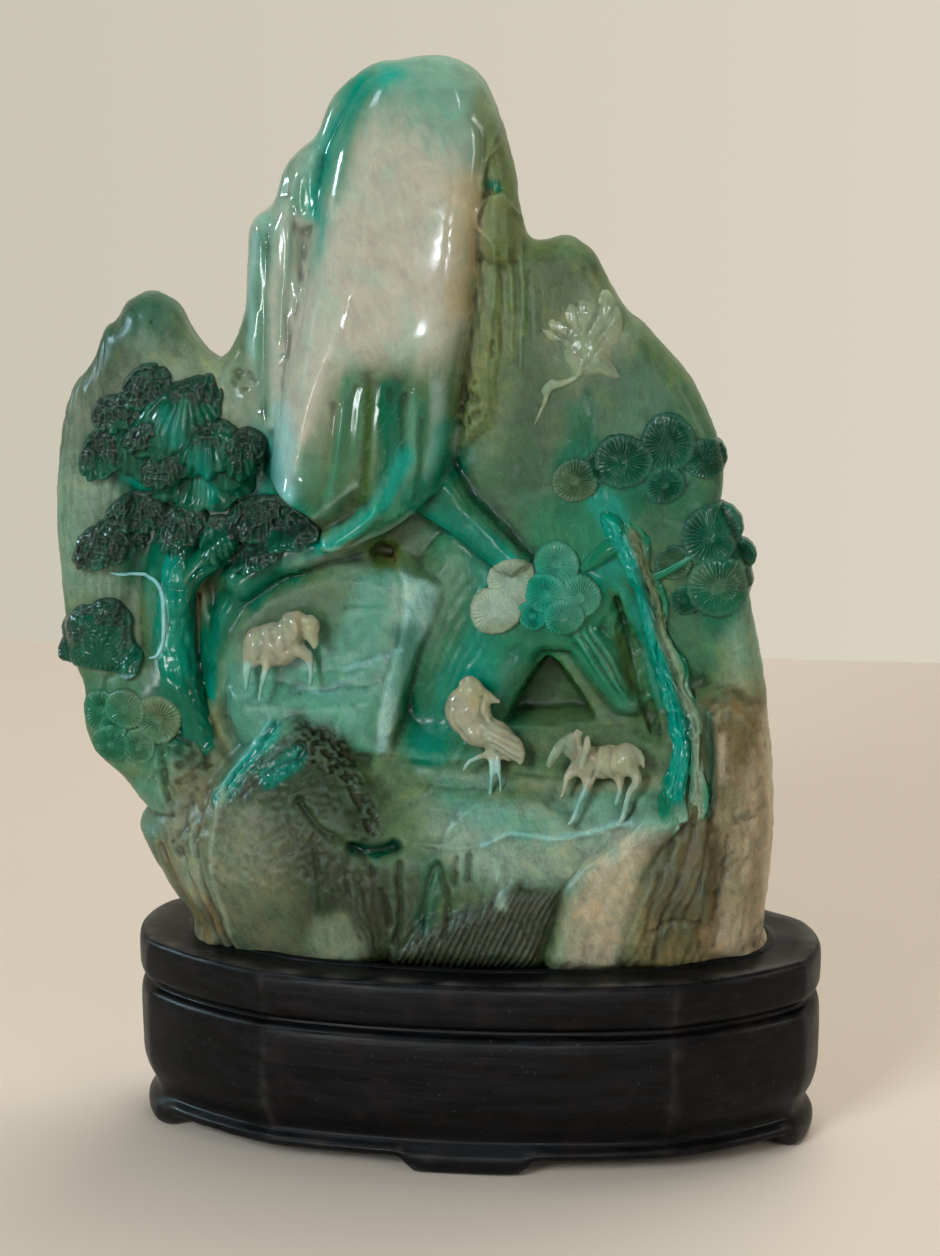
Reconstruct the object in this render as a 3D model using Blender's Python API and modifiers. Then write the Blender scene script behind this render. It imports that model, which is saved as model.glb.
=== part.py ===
"""A jade boulder carved as a mountain with pines, animals and caves, standing in its fitted hardwood stand.

Run with: blender --background --python part.py. The front faces -Y, +Z is up, and the origin is on the ground
under the middle of the whole. Sizes below are in millimetres; MM turns them into metres.
"""

import math

import bmesh
import bpy
from mathutils import Matrix, Vector

MM = 0.001

# ---- the stand, in millimetres ----
STAND_HEIGHT = 44.0  # top of the rim above the ground
STAND_HALF = (76.6, 35.4)  # half sizes of the oval that the stand's plan follows
STAND_CENTRE_X = 7.5
CORNER_ANGLES = (20, 55, 125, 160, 200, 235, 305, 340)  # soft corners round the oval, in degrees
SIDE_FLATNESS = 0.3  # how much of a side between two corners is straight
SIDE_STEPS = 8
SOCKET_HALF = (64.0, 25.0)
SOCKET_CENTRE_X = 8.0
SOCKET_DEPTH = 5.0
LIP_HEIGHT = 0.5
LIP_WIDTH = 1.3
LIP_BEVEL = 0.6
FOOT_LIFT = 3.6  # how high the apron stands between the feet
FOOT_SLOPE = 4.0  # length over which a foot rises to the apron
RECESS_INSET = 13.0
RECESS_HEIGHT = 4.0  # the flat underside between the feet
NECK_HEIGHT = 7.0  # the feet flare out below this height
FEET = ((180, 15.0), (0, 13.0), (270, 11.5), (90, 11.5))  # angle round the plan, half width of the pad

# The stand's side from the ground up, as (inset from the plan's edge, height).
STAND_SIDE = (
    (3.4, 0.0), (1.0, 1.6), (0.8, 4.4), (2.7, 7.0), (2.7, 8.6), (0.9, 12.0), (0.0, 16.0), (0.0, 30.4),
    (0.7, 31.6), (2.4, 32.3), (2.4, 33.4), (0.6, 34.6), (0.0, 36.4), (0.0, 42.6), (1.2, 44.0),
)

# ---- the stone, in millimetres ----
REST_GAP = 0.3  # between the stone's flat bottom and the socket's floor
STONE_GAP = 1.0  # between the stone's foot and the socket's wall
TRIM_HALF = (115.0, 65.0, 20.0)  # half sizes of the blocks that trim the stone's foot
STONE_FLOOR = STAND_HEIGHT - SOCKET_DEPTH + REST_GAP
SLAB_HALF = 10.0
SLAB_EDGE = 6.0
SLAB_VOXEL = 2.0
STONE_VOXEL = 1.1
STONE_TRIANGLES = 6050

# The outline of the mountain seen from the front, as (x, z), from the left foot round to the right foot.
OUTLINE = (
    (-50, 39.3), (-57, 52), (-65, 66), (-64.5, 73), (-72, 81), (-77, 91), (-80.5, 104), (-82, 118),
    (-82.5, 134), (-81, 153), (-77, 165), (-72, 172), (-68, 178), (-61, 183), (-55, 180), (-47.5, 171),
    (-42.5, 178), (-40.5, 192), (-34.5, 202), (-31.5, 210.5), (-26, 216), (-21.5, 225), (-15, 230), (-4, 232),
    (4, 230), (9, 225), (13, 214), (17.5, 196.5), (26, 196), (32, 192), (39, 180), (51, 167.5), (58, 153),
    (58.5, 139), (63, 129), (66.5, 115), (70, 92), (71.5, 72), (69.5, 39.3),
)

# How far the stone reaches to the front and to the back at some heights, as (z, front, back).
THICKNESS = ((39, 22, 22), (62, 20, 23), (90, 12, 21), (125, 7, 18), (165, 6, 16), (200, 7, 13), (232, 4, 9))
LENS_MIDDLE, LENS_HALF, LENS_EDGE = -5.0, 84.0, 0.45  # the slab thins towards both sides

# Rounded masses of rock, as name: (centre, half sizes, lean in degrees, squareness).
ROCKS = {
    "peak_side": ((9.5, 1.0, 188.0), (7.5, 8.0, 30.0), -6, 0.30),
    "left_step_low": ((-34.5, 1.0, 178.0), (7.5, 8.0, 17.0), 0, 0.30),
    "left_step_high": ((-30.5, 1.0, 199.0), (5.5, 7.0, 11.0), 12, 0.30),
    "left_peak": ((-61.0, 2.0, 165.0), (11.5, 9.0, 17.0), 0, 0.25),
    "left_flank": ((-69.5, 0.0, 141.0), (10.5, 9.0, 21.0), 0, 0.20),
    "right_wall": ((27.5, 2.0, 168.0), (11.0, 8.0, 24.0), -12, 0.25),
    "right_shoulder": ((45.0, 2.0, 146.0), (11.5, 9.0, 21.0), -18, 0.25),
    "ledge": ((-22.0, -6.0, 106.0), (21.5, 10.0, 13.5), -8, 0.45),
    "ledge_face": ((-10.0, -8.0, 108.0), (12.0, 8.0, 14.0), 12, 0.45),
    "ridge": ((6.0, -7.0, 133.0), (5.0, 6.0, 17.0), -42, 0.20),
    "cave_hood": ((-12.0, -5.0, 133.0), (13.0, 6.5, 6.0), -22, 0.20),
    "mid_column": ((6.0, -8.0, 104.0), (7.0, 8.0, 18.0), 0, 0.35),
    "terrace": ((18.0, -8.0, 70.0), (38.0, 13.5, 9.5), 0, 0.50),
    "terrace_step": ((20.0, -8.0, 60.0), (42.0, 15.0, 12.0), 0, 0.50),
    "boulder": ((-31.0, -6.0, 66.0), (21.0, 17.0, 24.0), 8, 0.25),
    "boulder_side": ((-47.5, 0.0, 65.0), (8.5, 12.0, 18.0), -16, 0.25),
    "left_root": ((-57.0, -4.0, 84.0), (11.0, 9.0, 14.0), 16, 0.20),
    "striped_rock": ((9.0, -15.0, 52.0), (16.0, 8.0, 9.5), -24, 0.40),
    "veil_rock": ((32.0, -14.0, 56.0), (14.0, 9.0, 14.0), 18, 0.35),
    "right_cliff": ((61.0, -1.0, 78.0), (9.5, 12.0, 33.0), 0, 0.35),
    "cliff_fold": ((52.0, -9.0, 62.0), (10.0, 10.0, 19.0), 8, 0.35),
    "back_peak": ((-6.0, 7.0, 196.0), (15.0, 10.0, 33.0), 6, 0.20),
    "back_saddle": ((3.0, 10.0, 158.0), (25.0, 11.0, 35.0), -8, 0.20),
    "back_left_peak": ((-60.0, 6.0, 158.0), (12.0, 9.0, 21.0), 4, 0.20),
    "back_left": ((-53.0, 10.0, 119.0), (22.0, 11.0, 32.0), -8, 0.20),
    "back_left_foot": ((-42.0, 11.0, 78.0), (19.0, 12.0, 24.0), -14, 0.20),
    "back_middle": ((-9.0, 13.0, 104.0), (26.0, 12.0, 38.0), 6, 0.20),
    "back_right": ((37.0, 10.0, 126.0), (20.0, 11.0, 38.0), -12, 0.20),
    "back_right_foot": ((50.0, 9.0, 82.0), (18.0, 12.0, 30.0), 4, 0.20),
    "back_foot": ((8.0, 12.0, 58.0), (48.0, 11.0, 17.0), 0, 0.35),
}
ROCK_CUTS = 6

# The tall smooth peak, in sections down its height: (z, middle x, half width, reach to the front).
PEAK = (
    (231.0, -3.5, 6.0, 2.0), (226.0, -4.0, 12.5, 6.0), (212.0, -6.0, 18.0, 10.0), (195.0, -10.5, 18.5, 13.5),
    (178.0, -12.5, 19.0, 16.0), (163.0, -17.5, 20.0, 17.0), (150.0, -20.0, 19.5, 16.0), (143.0, -19.5, 15.5, 13.5),
    (135.5, -16.0, 6.0, 10.0),
)
PEAK_BACK = 6.0
PEAK_RIDGE = (200, 1.12)  # where the ridge stands on each section, and how far out it is drawn
PEAK_SIDES = 24

# Cloud-like layers of pine foliage, as (centre, half sizes, lean in degrees).
CANOPIES = (
    ((-57.5, -5.0, 166.0), (8.5, 6.0, 3.6), 4),
    ((-69.0, -4.0, 153.0), (8.5, 6.5, 4.4), 18),
    ((-57.0, -7.0, 158.5), (11.5, 6.5, 4.2), 18),
    ((-43.5, -6.0, 152.5), (7.5, 6.0, 4.6), -6),
    ((-57.0, -8.0, 148.5), (6.5, 5.5, 3.2), 0),
    ((-68.3, -7.0, 134.5), (9.5, 8.0, 5.4), 4),
    ((-54.0, -9.0, 137.0), (6.5, 6.5, 3.6), 0),
    ((-37.0, -8.0, 138.0), (12.0, 7.5, 4.0), -4),
    ((-36.5, -9.0, 131.5), (6.5, 5.5, 2.8), 0),
    ((-76.0, -1.0, 109.5), (9.0, 8.0, 7.6), -8),
)
CANOPY_UNDERSIDE = 0.4

# Round pine discs facing the front, as (centre, radius).
DISCS = (
    ((-73.5, -4.0, 92.5), 5.0), ((-67.5, -6.0, 93.5), 4.5), ((-71.0, -4.5, 86.5), 4.5),
    ((-62.0, -6.5, 93.0), 4.0), ((11.0, -13.5, 119.5), 5.6), ((15.5, -12.5, 125.5), 5.0),
    ((23.5, -11.5, 127.5), 5.0), ((27.0, -13.5, 120.5), 5.0), ((31.0, -12.5, 123.5), 4.4),
    ((21.5, -13.0, 119.0), 4.4), ((28.0, -6.5, 146.0), 5.2), ((38.5, -9.0, 151.0), 7.0),
    ((47.0, -8.0, 154.0), 6.0), ((54.0, -6.0, 151.0), 5.0), ((44.0, -8.0, 147.0), 4.6),
    ((57.0, -7.5, 134.5), 7.0), ((50.0, -8.5, 132.5), 5.0), ((54.5, -9.0, 125.0), 5.6), ((61.5, -5.0, 126.0), 4.4),
)
DISC_DOME = 0.45

# Round limbs that follow a route, as rows of (x, y, z, radius).
LIMBS = {
    "left_trunk": ((-57, -7, 131, 2.2), (-58.5, -8.5, 118, 2.6), (-58, -8.5, 105, 2.6), (-54, -8, 92, 3.2)),
    "left_branch": ((-69, -6, 129, 1.6), (-63, -8, 123, 1.8), (-58.5, -8.5, 112, 2.0)),
    "left_bough": ((-43, -8, 131, 1.6), (-52, -8.5, 126, 1.8), (-58, -8.5, 116, 2.0)),
    "right_trunk": ((36.5, -7, 146, 2.6), (42, -10.5, 130, 3.2), (47.5, -13.5, 113, 3.6), (53, -15, 98, 3.8),
                    (53.5, -16.5, 80, 4.4)),
    "right_branch": ((46, -9.5, 120, 2.2), (51, -8, 124, 2.0), (56, -7, 130, 1.8)),
    "right_bough": ((27, -9, 147, 1.8), (35, -8, 144, 2.2), (46, -8, 150, 2.0)),
    "moss_ridge": ((-29, -15, 93, 2.2), (-17, -17.5, 86, 2.6), (-11.5, -19.5, 70, 2.6)),
    "crane_wing": ((28.5, -6, 175, 2.6), (31.5, -6, 180, 2.4), (33, -5, 184.5, 1.6)),
    "crane_neck": ((27.5, -6, 174, 2.8), (21.5, -6, 168, 1.7), (19.5, -5.5, 160, 1.3)),
    "crane_tail": ((28, -6, 174, 2.6), (34, -6, 170, 1.8), (39.5, -5.5, 168, 1.3)),
    "bird_neck": ((10, -14.5, 94, 3.4), (5.5, -15, 96.5, 2.2), (6, -15.5, 101, 1.7), (10.5, -15.5, 101, 1.4)),
    "bird_tail": ((10, -14.5, 94, 3.4), (14, -15, 89.5, 2.4), (15.5, -15.5, 85.5, 1.4)),
}
LIMB_SIDES = 12
JOINT_RINGS = 8
BALL_RINGS = 12

# Four-legged animals: middle of the body, half its length and height, the way the head points, height of the hooves.
BEASTS = {
    "sheep": ((-34.5, -13.5, 110.5), 5.6, 3.9, 1, 101.5),
    "horse": ((33.5, -16.5, 87.5), 7.0, 4.2, -1, 77.5),
}
BEAST_HALF_DEPTH = 3.2
BEAST_LEAN = 4  # the back falls away from the head by this many degrees
# Neck and head, as rows of (part of the half length forwards, y, z and radius in millimetres) from the body's middle.
BEAST_NECK = ((0.6, -0.5, 1.0, 2.6), (1.15, -1.0, 2.6, 2.1))
BEAST_HEAD = ((1.15, -1.0, 2.6, 2.1), (1.42, -1.4, 0.2, 1.3))
# Legs, as (part of the half length forwards, y).
BEAST_LEGS = ((-0.8, 0.0), (-0.5, -1.2), (0.45, -1.2), (0.75, 0.0))
THIGH_RADIUS, HOOF_RADIUS, THIGH_DROP = 1.55, 1.2, 1.0

# Hollows cut into the front, as (centre, half sizes, lean in degrees).
CAVES = (
    ((24.0, -11.0, 101.0), (8.5, 9.0, 6.0), 0),
    ((38.0, -10.0, 110.0), (4.2, 7.0, 12.0), 18),
    ((-12.5, -15.0, 128.5), (5.0, 7.0, 4.0), 0),
)

JADE = ((0.16, 0.34, 0.24), 0.25)
HARDWOOD = ((0.018, 0.010, 0.008), 0.35)


def clear_scene():
    for obj in list(bpy.data.objects):
        bpy.data.objects.remove(obj, do_unlink=True)


def new_collection(name):
    made = bpy.data.collections.new(name)
    bpy.context.scene.collection.children.link(made)
    return made


def finish_material(name, colour, roughness):
    made = bpy.data.materials.new(name)
    made.use_nodes = True
    shader = made.node_tree.nodes["Principled BSDF"]
    shader.inputs["Base Color"].default_value = (*colour, 1.0)
    shader.inputs["Roughness"].default_value = roughness
    shader.inputs["Metallic"].default_value = 0.0
    return made


def object_from(shape, name, collection):
    """Turns a bmesh into an object whose faces point outwards, and frees the bmesh."""
    bmesh.ops.recalc_face_normals(shape, faces=shape.faces)
    mesh = bpy.data.meshes.new(name)
    shape.to_mesh(mesh)
    shape.free()
    made = bpy.data.objects.new(name, mesh)
    collection.objects.link(made)
    return made


def as_cutter(obj):
    obj.hide_render = True
    obj.display_type = "WIRE"
    return obj


def evaluated_mesh(obj):
    """A new mesh of the object as its modifiers or its curve settings leave it."""
    graph = bpy.context.evaluated_depsgraph_get()
    return bpy.data.meshes.new_from_object(obj.evaluated_get(graph))


def placed(centre, lean=0.0):
    """The matrix that puts a shape at a place in millimetres, leaning to the right by an angle in degrees."""
    return Matrix.Translation(Vector(centre) * MM) @ Matrix.Rotation(math.radians(lean), 4, "Y")


def read_between(rows, at):
    """The values of a table of (position, value, value ...) at a position between its rows."""
    if at <= rows[0][0]:
        return rows[0][1:]
    for low, high in zip(rows, rows[1:]):
        if at <= high[0]:
            part = (at - low[0]) / (high[0] - low[0])
            return tuple(a + (b - a) * part for a, b in zip(low[1:], high[1:]))
    return rows[-1][1:]


# ---- the stone's masses ----


def slab_mesh(helpers):
    """The mountain's outline made solid: thin at the skyline and the sides, thick at the foot."""
    curve = bpy.data.curves.new("outline", "CURVE")
    curve.dimensions = "2D"
    curve.fill_mode = "BOTH"
    curve.extrude = (SLAB_HALF - SLAB_EDGE) * MM
    curve.bevel_depth = SLAB_EDGE * MM
    curve.bevel_resolution = 2
    curve.offset = -SLAB_EDGE * MM
    spline = curve.splines.new("POLY")
    spline.points.add(len(OUTLINE) - 1)
    for point, (x, z) in zip(spline.points, OUTLINE):
        point.co = (x * MM, z * MM, 0.0, 1.0)
    spline.use_cyclic_u = True
    outline = bpy.data.objects.new("outline", curve)
    helpers.objects.link(outline)
    solid = bpy.data.objects.new("slab", evaluated_mesh(outline))
    helpers.objects.link(solid)
    solid.data.transform(Matrix.Rotation(math.radians(90), 4, "X"))
    remesh = solid.modifiers.new("even", "REMESH")
    remesh.mode = "VOXEL"
    remesh.voxel_size = SLAB_VOXEL * MM
    mesh = evaluated_mesh(solid)
    for vertex in mesh.vertices:
        front, back = read_between(THICKNESS, vertex.co.z / MM)
        off = min(1.0, abs(vertex.co.x / MM - LENS_MIDDLE) / LENS_HALF)
        lens = LENS_EDGE + (1 - LENS_EDGE) * math.sqrt(1 - off * off)
        reach = front if vertex.co.y < 0 else back
        vertex.co.y *= lens * reach / SLAB_HALF
    for helper in (outline, solid):
        bpy.data.objects.remove(helper, do_unlink=True)
    return mesh


def add_rock(shape, centre, half, lean, squareness):
    """A rounded block: a cube whose points are drawn towards a ball, less so the squarer it is."""
    block = bmesh.new()
    bmesh.ops.create_cube(block, size=2.0)
    bmesh.ops.subdivide_edges(block, edges=block.edges[:], cuts=ROCK_CUTS, use_grid_fill=True)
    place = placed(centre, lean)
    for point in block.verts:
        round_point = point.co.lerp(point.co.normalized(), 1 - squareness)
        point.co = place @ Vector(a * b * MM for a, b in zip(round_point, half))
    mesh = bpy.data.meshes.new("block")
    block.to_mesh(mesh)
    block.free()
    shape.from_mesh(mesh)
    bpy.data.meshes.remove(mesh)


def add_peak(shape):
    """The smooth peak: oval sections joined one to the next, with a ridge down its left front."""
    rings = []
    for z, middle, half_width, front in PEAK:
        ring = []
        for side in range(PEAK_SIDES):
            degrees = 360.0 * side / PEAK_SIDES
            turn = math.radians(degrees)
            out = PEAK_RIDGE[1] if abs(degrees - PEAK_RIDGE[0]) < 180.0 / PEAK_SIDES else 1.0
            reach = PEAK_BACK if math.sin(turn) > 0 else front
            x, y = middle + half_width * out * math.cos(turn), reach * out * math.sin(turn)
            ring.append(shape.verts.new((x * MM, y * MM, z * MM)))
        rings.append(ring)
    for high, low in zip(rings, rings[1:]):
        bridge_rings(shape, low, high)
    shape.faces.new(rings[0])
    shape.faces.new(reversed(rings[-1]))


def add_ball(shape, centre, half, lean=0.0, underside=1.0, rings=BALL_RINGS):
    """A squashed ball, whose lower half can be flatter than its upper half."""
    made = bmesh.ops.create_uvsphere(shape, u_segments=2 * rings, v_segments=rings, radius=1.0)["verts"]
    place = placed(centre, lean)
    for point in made:
        if point.co.z < 0:
            point.co.z *= underside
        point.co = place @ Vector(a * b * MM for a, b in zip(point.co, half))


def add_limb(shape, route):
    """A round limb along a route: a tapered length between each two points, and a ball at each point."""
    for x, y, z, radius in route:
        add_ball(shape, (x, y, z), (radius, radius, radius), rings=JOINT_RINGS)
    for start, end in zip(route, route[1:]):
        low, high = Vector(start[:3]) * MM, Vector(end[:3]) * MM
        turn = (high - low).to_track_quat("Z", "Y").to_matrix().to_4x4()
        bmesh.ops.create_cone(
            shape, cap_ends=True, segments=LIMB_SIDES, radius1=start[3] * MM, radius2=end[3] * MM,
            depth=(high - low).length, matrix=Matrix.Translation((low + high) / 2) @ turn,
        )


def add_beast(shape, middle, half_length, half_height, facing, hoof_z):
    """A small four-legged animal in side view: body, chest, neck and head, and four legs down to its ground."""
    x, y, z = middle
    add_ball(shape, middle, (half_length, BEAST_HALF_DEPTH, half_height), lean=-BEAST_LEAN * facing)
    for route in (BEAST_NECK, BEAST_HEAD):
        add_limb(shape, [(x + facing * half_length * a, y + b, z + c, r) for a, b, c, r in route])
    for along, out in BEAST_LEGS:
        leg_x = x + facing * along * half_length
        thigh = (leg_x, y + out, z - THIGH_DROP, THIGH_RADIUS)
        add_limb(shape, (thigh, (leg_x, y + out, hoof_z, HOOF_RADIUS)))


def make_stone_cutters(cutters):
    """The hollows of the front, the sleeve that trims the foot to fit the socket, and the block that levels it."""
    made = []
    for index, (centre, half, lean) in enumerate(CAVES):
        shape = bmesh.new()
        add_ball(shape, centre, half, lean)
        made.append(as_cutter(object_from(shape, f"cave_{index + 1}", cutters)))
    shape = bmesh.new()
    outer = [(a * TRIM_HALF[0], b * TRIM_HALF[1]) for a, b in ((-1, -1), (1, -1), (1, 1), (-1, 1))]
    half = [value - STONE_GAP for value in SOCKET_HALF]
    inner = oval_points(half, SOCKET_CENTRE_X)
    rings = []
    for height in (STONE_FLOOR - TRIM_HALF[2], STAND_HEIGHT + LIP_HEIGHT + REST_GAP):
        rings.append([shape.verts.new((x * MM, y * MM, height * MM)) for x, y in outer])
        rings.append([shape.verts.new((x * MM, y * MM, height * MM)) for x, y in inner])
    for low, high in ((rings[0], rings[2]), (rings[1], rings[3])):
        bridge_rings(shape, low, high)
    for outside, inside in ((rings[0], rings[1]), (rings[2], rings[3])):
        edges = [shape.edges.get(pair) for ring in (outside, inside) for pair in zip(ring, ring[1:] + ring[:1])]
        bmesh.ops.triangle_fill(shape, use_beauty=True, edges=edges)
    made.append(as_cutter(object_from(shape, "foot_trim", cutters)))
    shape = bmesh.new()
    size = Matrix.Diagonal([*(value * MM for value in TRIM_HALF), 1])
    bmesh.ops.create_cube(shape, size=2.0, matrix=placed((0, 0, STONE_FLOOR - TRIM_HALF[2])) @ size)
    made.append(as_cutter(object_from(shape, "floor_trim", cutters)))
    return made


def make_stone(collection, cutters):
    shape = bmesh.new()
    shape.from_mesh(slab_mesh(cutters))
    add_peak(shape)
    for centre, half, lean, squareness in ROCKS.values():
        add_rock(shape, centre, half, lean, squareness)
    for centre, half, lean in CANOPIES:
        add_ball(shape, centre, half, lean, CANOPY_UNDERSIDE)
    for centre, radius in DISCS:
        add_ball(shape, centre, (radius, radius * DISC_DOME, radius))
    for route in LIMBS.values():
        add_limb(shape, route)
    for beast in BEASTS.values():
        add_beast(shape, *beast)
    stone = object_from(shape, "jade_mountain", collection)
    remesh = stone.modifiers.new("one_body", "REMESH")
    remesh.mode = "VOXEL"
    remesh.voxel_size = STONE_VOXEL * MM
    faces = len(evaluated_mesh(stone).polygons)
    decimate = stone.modifiers.new("facets", "DECIMATE")
    decimate.ratio = STONE_TRIANGLES / (2 * faces)
    for cutter in make_stone_cutters(cutters):
        cut = stone.modifiers.new(cutter.name, "BOOLEAN")
        cut.operation = "DIFFERENCE"
        cut.object = cutter
    stone.data.materials.append(finish_material("jade", *JADE))
    return stone


# ---- the stand ----


def oval_points(half, centre_x):
    """The plan's points round an oval with soft corners, anticlockwise from the first corner."""
    points = []
    angles = [*CORNER_ANGLES, CORNER_ANGLES[0] + 360]
    for start, end in zip(angles, angles[1:]):
        first, last = (Vector((math.cos(a), math.sin(a))) for a in map(math.radians, (start, end)))
        for step in range(SIDE_STEPS):
            part = step / SIDE_STEPS
            angle = math.radians(start + (end - start) * part)
            arc = Vector((math.cos(angle), math.sin(angle)))
            point = arc.lerp(first.lerp(last, part), SIDE_FLATNESS)
            points.append((centre_x + point.x * half[0], point.y * half[1]))
    return points


def bridge_rings(shape, low, high):
    """Faces between two rings that have the same number of points."""
    for index in range(len(low)):
        after = (index + 1) % len(low)
        shape.faces.new((low[index], low[after], high[after], high[index]))


def foot_part(x, y):
    """1 under a foot, 0 where the apron is lifted, and a slope between them."""
    best = 0.0
    for angle, half_width in FEET:
        turn = math.radians(angle)
        foot = Vector((math.cos(turn) * STAND_HALF[0], math.sin(turn) * STAND_HALF[1]))
        away = (Vector((x - STAND_CENTRE_X, y)) - foot).length
        best = max(best, min(1.0, (half_width + FOOT_SLOPE - away) / FOOT_SLOPE))
    return best * best * (3 - 2 * best)


def stand_ring(shape, inset, height):
    """One ring of the stand's side. Below the neck its height gives way to the lifted apron."""
    ring = []
    edge = oval_points(STAND_HALF, STAND_CENTRE_X)
    half = [value - inset for value in STAND_HALF]
    for (x, y), (edge_x, edge_y) in zip(oval_points(half, STAND_CENTRE_X), edge):
        lift = FOOT_LIFT * (1 - foot_part(edge_x, edge_y))
        raised = height
        if height < NECK_HEIGHT:
            raised = lift + height * (NECK_HEIGHT - lift) / NECK_HEIGHT
        ring.append(shape.verts.new((x * MM, y * MM, raised * MM)))
    return ring


def level_ring(shape, half, grown, centre_x, height):
    """One level ring round the plan's oval, with its half sizes grown or shrunk."""
    points = oval_points([value + grown for value in half], centre_x)
    return [shape.verts.new((x * MM, y * MM, height * MM)) for x, y in points]


def make_stand(collection):
    """One closed surface: the underside between the feet, the side up to the rim, the lip and the socket."""
    shape = bmesh.new()
    rings = [level_ring(shape, STAND_HALF, -RECESS_INSET, STAND_CENTRE_X, RECESS_HEIGHT)]
    rings.append(stand_ring(shape, RECESS_INSET, 0.0))
    rings += [stand_ring(shape, inset, height) for inset, height in STAND_SIDE]
    lip_top = STAND_HEIGHT + LIP_HEIGHT
    for grown, height in (
        (LIP_WIDTH + LIP_BEVEL, STAND_HEIGHT), (LIP_WIDTH, lip_top), (0.0, lip_top), (0.0, STAND_HEIGHT - SOCKET_DEPTH),
    ):
        rings.append(level_ring(shape, SOCKET_HALF, grown, SOCKET_CENTRE_X, height))
    for low, high in zip(rings, rings[1:]):
        bridge_rings(shape, low, high)
    shape.faces.new(reversed(rings[0]))
    shape.faces.new(rings[-1])
    stand = object_from(shape, "wood_stand", collection)
    stand.data.materials.append(finish_material("dark_hardwood", *HARDWOOD))
    return stand


def main():
    clear_scene()
    pieces = new_collection("jade_mountain_carving")
    cutters = new_collection("cutters")
    make_stone(pieces, cutters)
    make_stand(pieces)


main()
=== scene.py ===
"""A jade boulder carved as a mountain, with pines, caves and animals, in its dark hardwood stand.

Runs in Blender 4.5 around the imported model. The front faces -Y and +Z is up. Tables of places and sizes are
in millimetres, and MM turns them into metres. A place in a table is (x, z) unless its comment says otherwise.
"""

import itertools
import math

import bpy
import numpy as np
from mathutils import Matrix, Vector


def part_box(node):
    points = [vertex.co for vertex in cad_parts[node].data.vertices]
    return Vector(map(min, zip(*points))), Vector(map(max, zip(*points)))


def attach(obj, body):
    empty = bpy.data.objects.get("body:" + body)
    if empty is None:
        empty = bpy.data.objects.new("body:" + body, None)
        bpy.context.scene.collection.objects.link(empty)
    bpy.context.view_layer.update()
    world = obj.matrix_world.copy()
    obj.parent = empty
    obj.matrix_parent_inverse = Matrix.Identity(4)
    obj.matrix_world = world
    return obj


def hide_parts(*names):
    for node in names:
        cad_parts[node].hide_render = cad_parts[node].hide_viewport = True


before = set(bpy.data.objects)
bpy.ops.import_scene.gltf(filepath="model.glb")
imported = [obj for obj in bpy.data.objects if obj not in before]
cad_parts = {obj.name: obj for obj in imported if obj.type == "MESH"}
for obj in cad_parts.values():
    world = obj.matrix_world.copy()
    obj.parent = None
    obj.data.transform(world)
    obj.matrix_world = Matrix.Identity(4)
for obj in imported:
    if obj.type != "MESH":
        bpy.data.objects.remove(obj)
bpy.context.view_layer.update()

bl_info = {
    "name": "Jade Mountain Carving",
    "version": (1, 0, 0),
    "blender": (4, 5, 0),
    "location": "3D View > Sidebar > Jade Mountain",
    "description": "Builds a carved jade mountain on its hardwood stand, piece by piece",
    "category": "Add Mesh",
}

MM = 0.001
STAND_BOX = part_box("wood_stand")
FULL_TURN = 2 * math.pi
FAR = 99  # more than any depth or distance that a limit has to let through

# ---- sizes and shapes of the stone ----

OUTLINE = (
    (-50, 39.4), (-54.5, 46), (-59.5, 53), (-66.5, 66), (-66.2, 69.5), (-64.8, 71.2), (-66.5, 73.5),
    (-69.7, 77.8), (-72.8, 80.5), (-76.3, 84), (-78.8, 90), (-78.3, 97), (-80.5, 104), (-82, 114),
    (-83, 130), (-82.8, 142), (-81.3, 153.7), (-78.8, 163.5), (-74.5, 168.5), (-73, 172), (-71.2, 176.4),
    (-68.6, 178.2), (-66.3, 182), (-61, 184), (-55.7, 181), (-52.6, 175.6), (-48.5, 170.4), (-45.5, 171.3),
    (-43, 175.7), (-41.2, 182), (-40.6, 192.5), (-39.3, 199), (-35.2, 202.3), (-32.9, 209.1), (-29.7, 213.2),
    (-25.9, 216.5), (-22.3, 224.4), (-15, 230.3), (-6.8, 232), (1.4, 232), (7.5, 228.8), (11.6, 220.6),
    (14.8, 210.5), (17.3, 197.4), (20.5, 195.7), (24.5, 196.3), (27.2, 196.3), (31.4, 193.3), (34.5, 187.5),
    (38.4, 181), (41, 179.2), (46.1, 173.8), (51.4, 167.6), (55.5, 160), (58.6, 152), (59, 146),
    (58.6, 140.5), (61, 135.5), (63.9, 128.2), (66.3, 115.2), (68.1, 106.4), (70.2, 92), (71.4, 79.6),
    (71.6, 68.2), (70.7, 56.6), (70, 45), (69.4, 39.4),
)
# Reach of the plain boulder to the front and to the back at each height, before its sides are thinned.
FRONT_WALL = ((39, 19), (62, 17), (80, 11), (93, 6), (120, 4), (165, 4), (200, 5.5), (225, 5), (232, 3.5))
BACK_WALL = ((39, 21), (62, 21), (90, 18), (125, 15), (165, 13), (200, 11), (232, 7))
LENS_MIDDLE, LENS_HALF, LENS_EDGE, LENS_POWER = -5.0, 84.0, 0.5, 2.6
SOCKET_CENTRE, SOCKET_ROOM = 8.0, (63.0, 24.0)
SOCKET_FADE = (62, 45)  # heights between which the stone narrows to the socket's room
WALL_FALL = 2.6  # how steeply a carved edge falls, in mm of depth for each mm across
DOME_FALL = 1.6  # how steeply a rounded mass falls past its rim, for its size
HOLLOW_WALL, HOLLOW_FALL = 12.0, 7.0
RIM_SHARE, RIM_LEAST, RIM_MOST = 0.62, 3.0, 9.0  # how far in from the outline the stone's edge is rounded
SLAB_THIN = 1.0
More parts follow.
